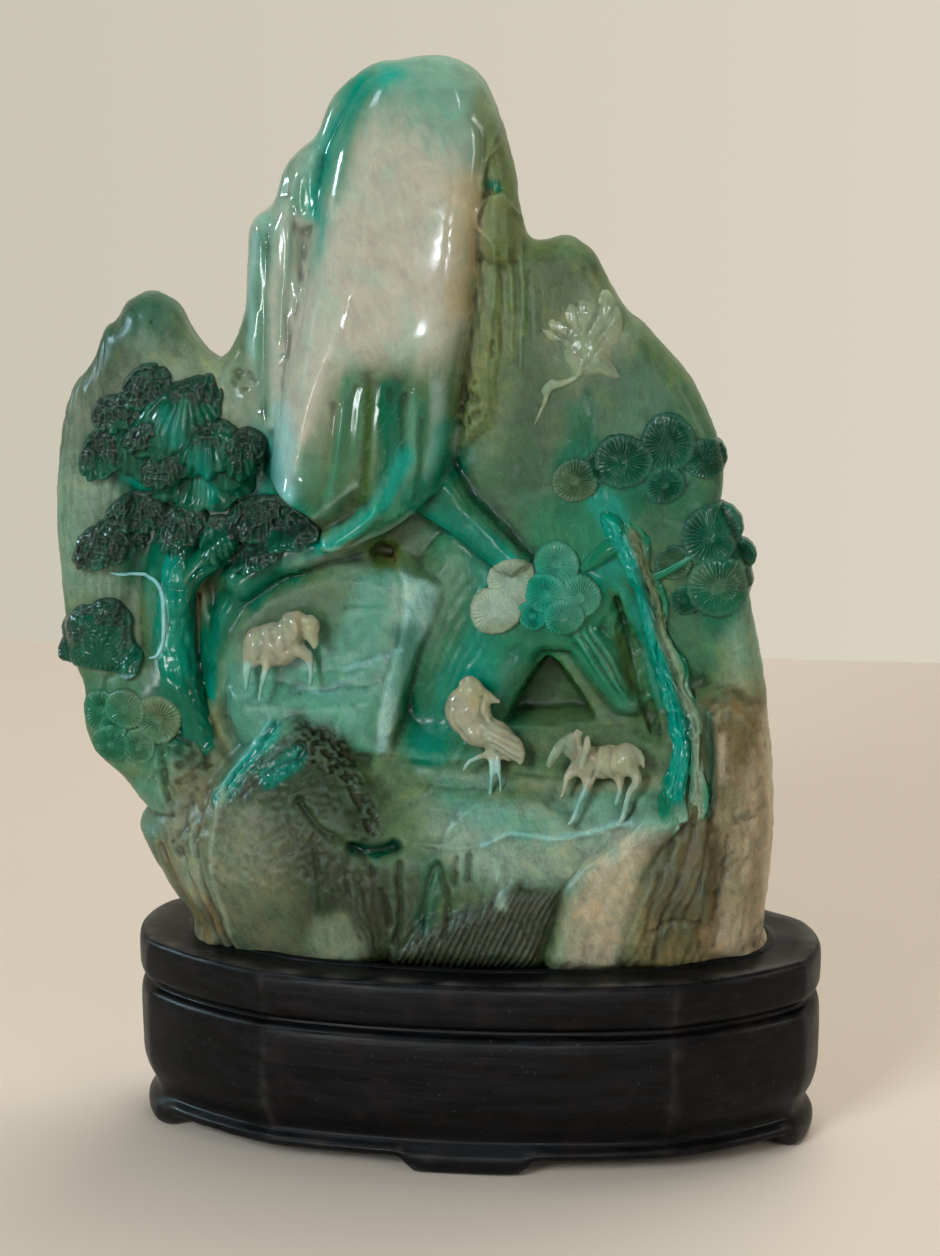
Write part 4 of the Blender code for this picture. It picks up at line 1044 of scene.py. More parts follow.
def needles_at(at):
    """How high the left pine's needles stand over the stone at each place, and their share of brown skin."""
    best, crust = cloud_lift(at, *NEEDLE_CLOUD, CLOUD_FANS)
    for row in CAPS:
        lift, skin = cap_lift(at, *row)
        crust = np.where(lift > best, skin, crust)
        best = np.maximum(best, lift)
    return best, crust


def needle_bank(low, high):
    """The needles over one stretch of the stone, with their skirt sunk in it and closed behind."""
    size = np.array(high) - low

    def place(u, v):
        x, z = low[0] + u * size[0], low[1] + v * size[1]
        lift = needles_at(np.stack((x, np.zeros(len(x)), z), axis=1))[0]
        return np.stack((x, -(stone_front(x, z) + lift), z), axis=1)

    piece = shaped_grid("bank", *(round(side / fineness("needles")) for side in size), place)
    bare = needles_at(points_of(piece) / MM * (1, 0, 1))[0] < 0.001 - SUNK
    for rows in (piece.data.polygons, piece.data.edges):
        rows.foreach_set("select", np.zeros(len(rows), bool))
    piece.data.vertices.foreach_set("select", bare)
    only(piece)
    bpy.ops.object.mode_set(mode="EDIT")
    bpy.ops.mesh.select_mode(type="VERT")
    bpy.ops.mesh.delete(type="VERT")
    bpy.ops.mesh.select_all(action="DESELECT")
    bpy.ops.mesh.select_non_manifold()
    bpy.ops.mesh.extrude_region_move(TRANSFORM_OT_translate={"value": (0, SKIRT * MM, 0)})
    bpy.ops.mesh.select_all(action="SELECT")
    bpy.ops.mesh.fill_holes(sides=0)
    bpy.ops.mesh.normals_make_consistent(inside=False)
    bpy.ops.object.mode_set(mode="OBJECT")
    store(piece, "crust", needles_at(points_of(piece) / MM * (1, 0, 1))[1])
    return piece


def limb(bark, rows):
    """A trunk or branch with bark grooves along it."""
    line = smooth_route(rows, 8)

    def place(u, v):
        at = along_line(line, v)
        x, z, height, radius = at.T
        along = direction_at(line, v, 0.01, 2)
        out = np.cross(np.stack((along[:, 0], np.zeros(len(v)), along[:, 1]), axis=1), (0, 1, 0))
        ends = np.sqrt(np.clip(1 - np.abs(2 * v - 1) ** 24, 0, 1))
        angle = u * FULL_TURN
        on_bark = np.stack((np.cos(angle) * radius, np.sin(angle) * radius, z * 0.3), axis=1)
        groove = layered_lumps(on_bark, BARK_LUMPS) - 1.3 * np.abs(lumps(on_bark, 1.1, 64))
        groove += 0.5 - 0.5 * np.abs(lumps(on_bark, 0.5, 66))
        wide = (radius + bark * groove * np.clip(radius / 3, 0.3, 1)) * ends
        middle = np.stack((x, -(stone_front(x, z) + height - 0.25 * radius), z), axis=1)
        return middle + out * (np.cos(angle) * wide)[:, None] + np.outer(np.sin(angle) * wide, (0, 1.0, 0))

    length = np.linalg.norm(np.diff(line[:, :2], axis=0), axis=1).sum()
    return shaped_grid("limb", TRUNK_STEPS, round(length / TRUNK_RING), place)


def ball(middle, half, lean):
    adder = bpy.ops.mesh.primitive_uv_sphere_add
    piece = new_piece("ball", adder, segments=BALL_STEPS, ring_count=BALL_RINGS, radius=1)
    turn = np.array(Matrix.Rotation(math.radians(lean), 3, "Y"))
    put_points(piece, points_of(piece) * half @ turn.T + middle)
    return piece


def tube(rows):
    """A limb of an animal, with round ends."""
    line = smooth_route(rows, 6)

    def place(u, v):
        at = along_line(line, np.clip((v - TUBE_CAP) / (1 - 2 * TUBE_CAP), 0, 1))
        start, end = np.clip(1 - v / TUBE_CAP, 0, 1), np.clip((v - 1 + TUBE_CAP) / TUBE_CAP, 0, 1)
        along = direction_at(line, v, 0.02, 3)
        out = np.cross(along, (0, 1, 0.001))
        out /= np.linalg.norm(out, axis=1)[:, None]
        side = np.cross(along, out)
        wide = at[:, 3] * np.cos(np.maximum(start, end) * math.pi / 2)
        middle = at[:, :3] + along * (at[:, 3] * np.sin((end - start) * math.pi / 2))[:, None]
        angle = u * FULL_TURN
        return middle + out * (np.cos(angle) * wide)[:, None] + side * (np.sin(angle) * wide)[:, None]

    return shaped_grid("tube", TUBE_STEPS, TUBE_RINGS, place)


def make_animal(name, balls, limbs, lines):
    piece = joined(name, [ball(*row) for row in balls] + [tube(rows) for rows in limbs])
    remeshed(piece, fineness("animals"), 24)
    at = points_of(piece) / MM
    depth, half, routes = lines
    cut = np.zeros(len(at))
    for route in routes:
        cut += depth * bell(away_from_route(at[:, 0], at[:, 2], smooth_route(route, 4)) / half)
    front = smooth_step(0.3, -0.3, points_of(piece, "normal")[:, 1])
    pushed(piece, layered_lumps(at, ANIMAL_LUMPS) - cut * front)
    bpy.ops.object.shade_smooth()
    return piece


# ---- the stand ----

STAND_TOP, STAND_X = 44.0, 7.5
STAND_HALF, SOCKET_HALF, SOCKET_DEPTH = (76.6, 35.4), (64.0, 25.0), 5.0
CORNERS = (20, 55, 125, 160, 200, 235, 305, 340)  # soft corners round the plan, in degrees
SIDE_FLATNESS = 0.3
FEET = ((180, 15.0), (0, 13.0), (270, 11.5), (90, 11.5))  # angle round the plan, half width of the pad
FOOT_SLOPE, FOOT_LIFT, NECK = 4.0, 3.6, 7.0
STAND_RECESS, RECESS_EDGE, APRON_HEIGHT = 13.0, 11.5, 4.0
STAND_STEPS, STAND_CREASE = 288, 50
# The side from the ground up, as (inset, height), the rim's flat rings, and the raised lip round the socket.
STAND_SIDE = (
    (4.4, 0.0), (3.0, 0.05), (1.4, 0.8), (0.8, 2.6), (1.0, 4.6), (2.4, 6.6), (2.8, 8.0), (2.0, 10.2),
    (0.8, 12.8), (0.1, 16), (0, 20), (0, 27), (0.2, 30), (0.8, 31.5), (2.2, 32.2), (2.5, 32.7), (2.4, 33.3),
    (1.0, 34.2), (0.2, 35.4), (0, 37.4), (0, 41.4), (0.4, 43.2), (1.4, 44.0),
)
RIM_RINGS = (-6.4, -4.2, -2.9, -2.2)
LIP = ((-1.9, 44.0), (-1.6, 44.3), (-1.0, 44.5), (-0.3, 44.4), (0, 43.9), (0.1, 42), (0.2, 39.4))
SOCKET_RINGS = (1.4, FAR)
STAND_LUMPS = ((0.16, 14.0, 50), (0.07, 4.0, 51))
LIP_LUMPS, LIP_WAVES = ((0.2, 8.0, 52),), ((0.15, 11.0, 53),)
LIP_FADE, LIP_ROOM = (43.2, 44.2), 0.3


def oval(angle, half, middle_x):
    """Points round the stand's plan: an oval with soft corners."""
    corners = np.radians([*CORNERS, CORNERS[0] + 360])
    angle = np.where(angle < corners[0], angle + FULL_TURN, angle)
    place = np.clip(np.searchsorted(corners, angle, "right") - 1, 0, len(CORNERS) - 1)
    start, end = corners[place], corners[place + 1]
    part = ((angle - start) / (end - start))[:, None]
    chord = round_place(start) * (1 - part) + round_place(end) * part
    return (round_place(angle) * (1 - SIDE_FLATNESS) + chord * SIDE_FLATNESS) * half + (middle_x, 0)


def round_place(angle):
    return np.stack((np.cos(angle), np.sin(angle)), axis=1)


def under_foot(at):
    """1 over a foot and 0 where the apron is lifted, with a curve between them."""
    best = np.zeros(len(at))
    for angle, half_width in FEET:
        turn = math.radians(angle)
        foot = (math.cos(turn) * STAND_HALF[0] + STAND_X, math.sin(turn) * STAND_HALF[1])
        best = np.maximum(best, (half_width + FOOT_SLOPE - np.linalg.norm(at - foot, axis=1)) / FOOT_SLOPE)
    return smooth_step(0, 1, best)


def stand_rings():
    """The stand's surface as rings, from the middle of its underside to the middle of its socket."""
    rings = [("flat", FAR, APRON_HEIGHT), ("flat", STAND_RECESS, APRON_HEIGHT), ("side", RECESS_EDGE, 0.0)]
    rings += [("side", inset, height) for inset, height in smooth_route(STAND_SIDE, 5)]
    rings += [("rim", inset, STAND_TOP) for inset in RIM_RINGS]
    rings += [("rim", inset, height) for inset, height in smooth_route(LIP, 4)]
    return rings + [("rim", inset, STAND_TOP - SOCKET_DEPTH) for inset in SOCKET_RINGS]


def make_stand():
    """The stand as one closed surface: underside, feet, moulded side, rim, lip and socket."""
    rings = stand_rings()

    def place(u, v):
        angle = (u * FULL_TURN) % FULL_TURN
        lift = FOOT_LIFT * (1 - under_foot(oval(angle, np.array(STAND_HALF), STAND_X)))
        level = np.round(v * (len(rings) - 1)).astype(int)
        points = np.empty((len(u), 3))
        for index, (kind, inset, height) in enumerate(rings):
            here = level == index
            half, middle = (SOCKET_HALF, SOCKET_CENTRE) if kind == "rim" else (STAND_HALF, STAND_X)
            points[here, :2] = oval(angle[here], np.maximum(np.array(half) - inset, 0), middle)
            points[here, 2] = height
            if kind == "side" and height < NECK:
                points[here, 2] = lift[here] + height * (NECK - lift[here]) / NECK
        return points

    piece = shaped_grid("carved_stand", STAND_STEPS, len(rings) - 1, place)
    with_modifier(piece, "SMOOTH", factor=0.5, iterations=2)
    at = points_of(piece) / MM
    near_lip = smooth_step(*LIP_FADE, at[:, 2])
    long_lumps = at * (1, 1, 0.2)
    wear_and_painted_light = layered_lumps(at, STAND_LUMPS) + near_lip * layered_lumps(long_lumps, LIP_LUMPS)
    at[:, 2] += near_lip * layered_lumps(long_lumps, LIP_WAVES)
    at += points_of(piece, "normal") * (wear_and_painted_light * smooth_step(0.5, 3, at[:, 2]))[:, None]
    low, high = (np.array(corner) / MM for corner in STAND_BOX)
    put_points(piece, np.clip(at, low, high + (0, 0, LIP_ROOM)))
    # The stand's edges, which its finish paints paler, for their wear and as a painted highlight.
    store(piece, "wear_and_painted_light", smooth_step(0.02, 0.22, -hollowness(piece, 3)))
    bpy.ops.object.shade_smooth_by_angle(angle=math.radians(STAND_CREASE))
    return piece


# ---- colour inside the stone ----

# Two areas that are stained twice: the wall under the crane, and the shade at the back of the ledge.
RIGHT_WALL = ((18, 200), (30, 196), (44, 178), (58, 152), (60, 136), (44, 134), (20, 136), (12, 152))
LEDGE_BACK = ((-46, 118), (-30, 128), (-18, 126), (-22, 116), (-42, 106))
# Areas of colour: colour, strength, softness of the edge, outline.
AREAS = (
    ("mist", 0.4, 5, ((-90, 178), (-70, 178), (-66, 160), (-64, 130), (-68, 118), (-90, 116))),
    ("ash", 0.7, 5, ((-90, 184), (-66, 178), (-60, 168), (-66, 150), (-90, 150))),
    ("mist", 0.3, 4, ((-66, 180), (-58, 182), (-50, 172), (-44, 170), (-42, 160), (-62, 158))),
    ("pale ash", 0.4, 4, ((-60, 176), (-50, 172), (-42, 172), (-38, 160), (-46, 158), (-56, 166))),
    # Painted shade: deep green darkens the top of the left peak, where light from above falls.
    ("deep", 0.9, 6, ((-72, 190), (-52, 190), (-56, 176), (-66, 174), (-74, 166), (-80, 168))),
    ("mist", 0.9, 4, ((-42, 200), (-28, 216), (-22, 226), (-20, 200), (-26, 150), (-38, 146))),
    ("milk", 0.95, 7, ((-16, 222), (-8, 224), (5, 220), (9, 205), (7, 190), (5, 176), (1, 171), (-8, 172),
        (-17, 168), (-24, 152), (-34, 146), (-38, 158), (-34, 180), (-26, 204))),
    # Painted light: milk lightens the peak's left side, which faces away from the light.
    ("milk", 0.95, 4, ((-31, 200), (-25, 196), (-26, 172), (-33, 160), (-35, 176))),
    ("mist", 0.25, 4, ((-28, 196), (-24, 200), (-22, 188), (-27, 165), (-31, 150), (-38, 146), (-35, 170))),
    ("mist", 0.75, 5, ((-14, 238), (6, 238), (14, 222), (6, 214), (-6, 221), (-14, 222))),
    ("pale teal", 0.35, 5, ((-14, 238), (6, 238), (14, 222), (5, 216), (-6, 221), (-14, 222))),
    ("pale ash", 0.4, 3, ((3, 233), (12, 229), (14, 217), (8, 221))),
    ("moss", 0.75, 6, ((-29, 150), (-22, 168), (-12, 172), (0, 172), (4, 162), (0, 144), (-10, 137),
        (-24, 137), (-30, 140))),
    ("jade", 0.25, 4, ((-8, 168), (4, 168), (3, 150), (-4, 140), (-12, 138), (-12, 150))),
    ("olive", 0.9, 3, ((8, 224), (14, 216), (18, 198), (16, 176), (12, 158), (2, 152), (5, 170), (8.5, 185),
        (9, 204))),
    ("moss", 0.9, 6, RIGHT_WALL),
    ("dark moss", 0.3, 6, RIGHT_WALL),
    ("olive", 0.55, 5, ((18, 200), (30, 196), (36, 186), (24, 176), (16, 180))),
    ("dark moss", 0.35, 5, ((20, 200), (28, 196), (34, 184), (30, 174), (20, 170), (12, 150), (8, 140),
        (20, 138), (22, 160))),
    ("emerald", 0.3, 5, ((8, 152), (20, 156), (24, 146), (14, 138), (6, 142))),
    ("pale ash", 0.5, 4, ((30, 188), (36, 186), (42, 176), (30, 166), (22, 174))),
    ("jade", 0.35, 6, ((40, 170), (60, 156), (62, 140), (40, 140), (30, 156))),
    ("moss", 0.4, 4, ((-52, 118), (-44, 124), (-27, 130), (-12, 133), (-14, 128), (-30, 125), (-42, 118),
        (-46, 100), (-50, 92))),
    ("pale teal", 0.9, 2, ((-45, 114), (-38, 121), (-24, 127), (-8, 127), (0, 123), (-4, 109), (-8, 101),
        (-11, 88), (-44, 86), (-47, 100))),
    ("jade", 0.25, 4, ((-36, 120), (-10, 122), (-12, 104), (-36, 104))),
    ("moss", 0.85, 4, LEDGE_BACK),
    ("dark moss", 0.3, 4, LEDGE_BACK),
    ("mist", 0.7, 3, ((-10, 124), (2, 124), (-3, 110), (-9, 100), (-14, 102), (-11, 114))),
    ("mist", 0.95, 0.8, BLOCKS["ledge rim"][-1]),
    ("ice", 0.3, 0.8, BLOCKS["ledge rim"][-1]),
    ("moss", 0.7, 1.6, DENTS["hem"][-1]),
    ("dark moss", 0.35, 1.6, DENTS["hem"][-1]),
    ("dark moss", 0.5, 1.5, ((-13.9, 133.4), (-10.6, 138), (-6.4, 139), (-6.6, 133), (-8.6, 131))),
    ("dark moss", 0.7, 1.6, HOLLOWS["gully"][-1]),
    ("earth", 0.4, 2, HOLLOWS["gully"][-1]),
    ("shadow", 1.0, 0.8, HOLLOWS["gully hole"][-1]),
    ("jade", 0.8, 4, ((-8, 140), (2, 137), (13, 127), (14, 110), (12, 92), (6, 84), (-7, 84), (-7, 98),
        (0, 112), (3, 124))),
    ("emerald", 0.3, 4, ((-6, 130), (8, 130), (12, 112), (2, 100), (-6, 104))),
    ("moss", 0.3, 3, ((-9, 133), (2, 133), (9, 126), (8, 118), (3, 110), (1, 117), (-1, 126))),
    ("teal", 0.55, 4, ((6, 134), (12, 128), (16, 114), (14, 100), (4, 98), (5, 112), (9, 122))),
    ("moss", 0.5, 3, ((-34, 126), (-20, 129), (-14, 127), (-22, 120), (-36, 120))),
    ("emerald", 0.45, 4, ((36, 146), (62, 146), (64, 118), (54, 116), (50, 128), (40, 134))),
    ("jade", 0.8, 5, ((18, 142), (34, 140), (42, 128), (40, 112), (30, 108), (16, 112), (14, 128))),
    ("emerald", 0.6, 3, ((42, 128), (50, 118), (58, 96), (52, 92), (46, 106), (40, 120))),
    ("shadow", 1.0, 2, HOLLOWS["tall opening"][-1]),
    ("olive", 0.4, 2, HOLLOWS["tall opening"][-1]),
    ("dark moss", 0.4, 2, HOLLOWS["tall opening"][-1]),
    ("shadow", 1.0, 0.8, HOLLOWS["cave"][-1]),
    ("emerald", 0.15, 0.8, HOLLOWS["cave"][-1]),
    ("shadow", 1.0, 0.8, HOLLOWS["dark hollow"][-1]),
    ("olive", 0.4, 1, HOLLOWS["dark hollow"][-1]),
    ("jade", 0.8, 1.5, BLOCKS["cave limb"][-1]),
    ("jade", 0.7, 1.2, BLOCKS["grooved leaf"][-1]),
    ("olive", 0.5, 3, ((60, 120), (68, 124), (74, 84), (60, 84), (58, 104))),
    ("jade", 0.45, 4, ((50, 122), (62, 120), (64, 106), (54, 104))),
    ("pale ash", 0.6, 3, ((60, 118), (67, 120), (72, 94), (60, 100))),
    ("dark moss", 0.15, 3, ((14, 97), (46, 98), (50, 86), (40, 86), (12, 88))),
    ("moss", 0.75, 3, ((14, 97), (46, 98), (50, 88), (46, 80), (20, 80), (8, 88))),
    ("moss", 0.7, 3, ((-14, 86), (0, 88), (8, 84), (4, 79), (-12, 77))),
    ("mist", 0.6, 4, ((-4, 76), (10, 81), (36, 78), (46, 75), (38, 69), (26, 63), (12, 62), (-2, 68))),
    ("pale ash", 0.2, 4, ((34, 88), (50, 90), (50, 80), (44, 72), (30, 66), (18, 68), (20, 78))),
    ("pale ash", 0.4, 4, ((18, 80), (44, 80), (44, 72), (30, 66), (18, 68))),
    ("moss", 0.8, 3, ((-16, 76), (-4, 76), (0, 68), (-4, 60), (-16, 62))),
    ("dark moss", 0.4, 3, ((-12, 66), (0, 68), (8, 62), (4, 56), (-8, 48), (-14, 54))),
    ("earth", 1.0, 2.5, ((55, 100), (62, 103), (76, 98), (76, 36), (38, 36), (44, 60), (54, 78))),
    ("pale earth", 0.75, 3, ((42, 76), (50, 76), (44, 64), (40, 50), (38, 36), (26, 36), (28, 60),
        (34, 68))),
    ("pale earth", 0.35, 3, ((62, 86), (76, 90), (76, 40), (60, 40), (60, 64))),
    ("slate", 0.55, 3, ((44, 76), (56, 76), (62, 66), (56, 50), (46, 50))),
    ("slate", 0.5, 2, ((56, 98), (60, 98), (61, 84), (58, 74), (54, 78))),
    ("pale ash", 0.25, 5, ((-56, 82), (-42, 86), (-40, 60), (-52, 40), (-64, 60))),
    ("ash", 0.9, 4, ((-70, 72), (-52, 80), (-40, 80), (-26, 74), (-12, 60), (-10, 36), (-58, 36))),
    ("dark moss", 0.95, 3, ((-46, 79), (-34, 93), (-24, 93), (-14, 78), (-14, 70), (-26, 76), (-38, 79))),
    ("dark moss", 1.0, 6, ((-34, 80), (-22, 72), (-12, 62), (-12, 40), (-26, 40), (-29, 60))),
    ("pale ash", 0.15, 3, ((-50, 76), (-38, 78), (-36, 62), (-40, 48), (-50, 56))),
    ("slate", 0.5, 4, ((-28, 78), (-22, 72), (-12, 62), (-12, 44), (-19, 46), (-22, 60))),
    ("pale ash", 0.7, 2.5, ((-25.4, 54), (-19, 55), (-15.6, 46), (-18, 40), (-28, 40))),
    ("slate", 1.0, 1.2, BLOCKS["striped rock"][-1]),
    ("slate", 0.6, 3, ((-14, 64), (-4, 64), (-2, 52), (-10, 44), (-16, 52))),
    ("dark moss", 1.0, 2.4, PITTED["moss ridge"][-1]),
    ("jade", 0.6, 4, ((-80, 100), (-58, 104), (-52, 88), (-62, 80), (-76, 84))),
    ("pale teal", 0.5, 2, ((-70, 77), (-62, 80), (-58, 74), (-62, 66), (-67, 68))),
    ("earth", 0.6, 3, ((-58, 100), (-51, 104), (-45, 88), (-50, 78), (-58, 76), (-56, 88))),
)

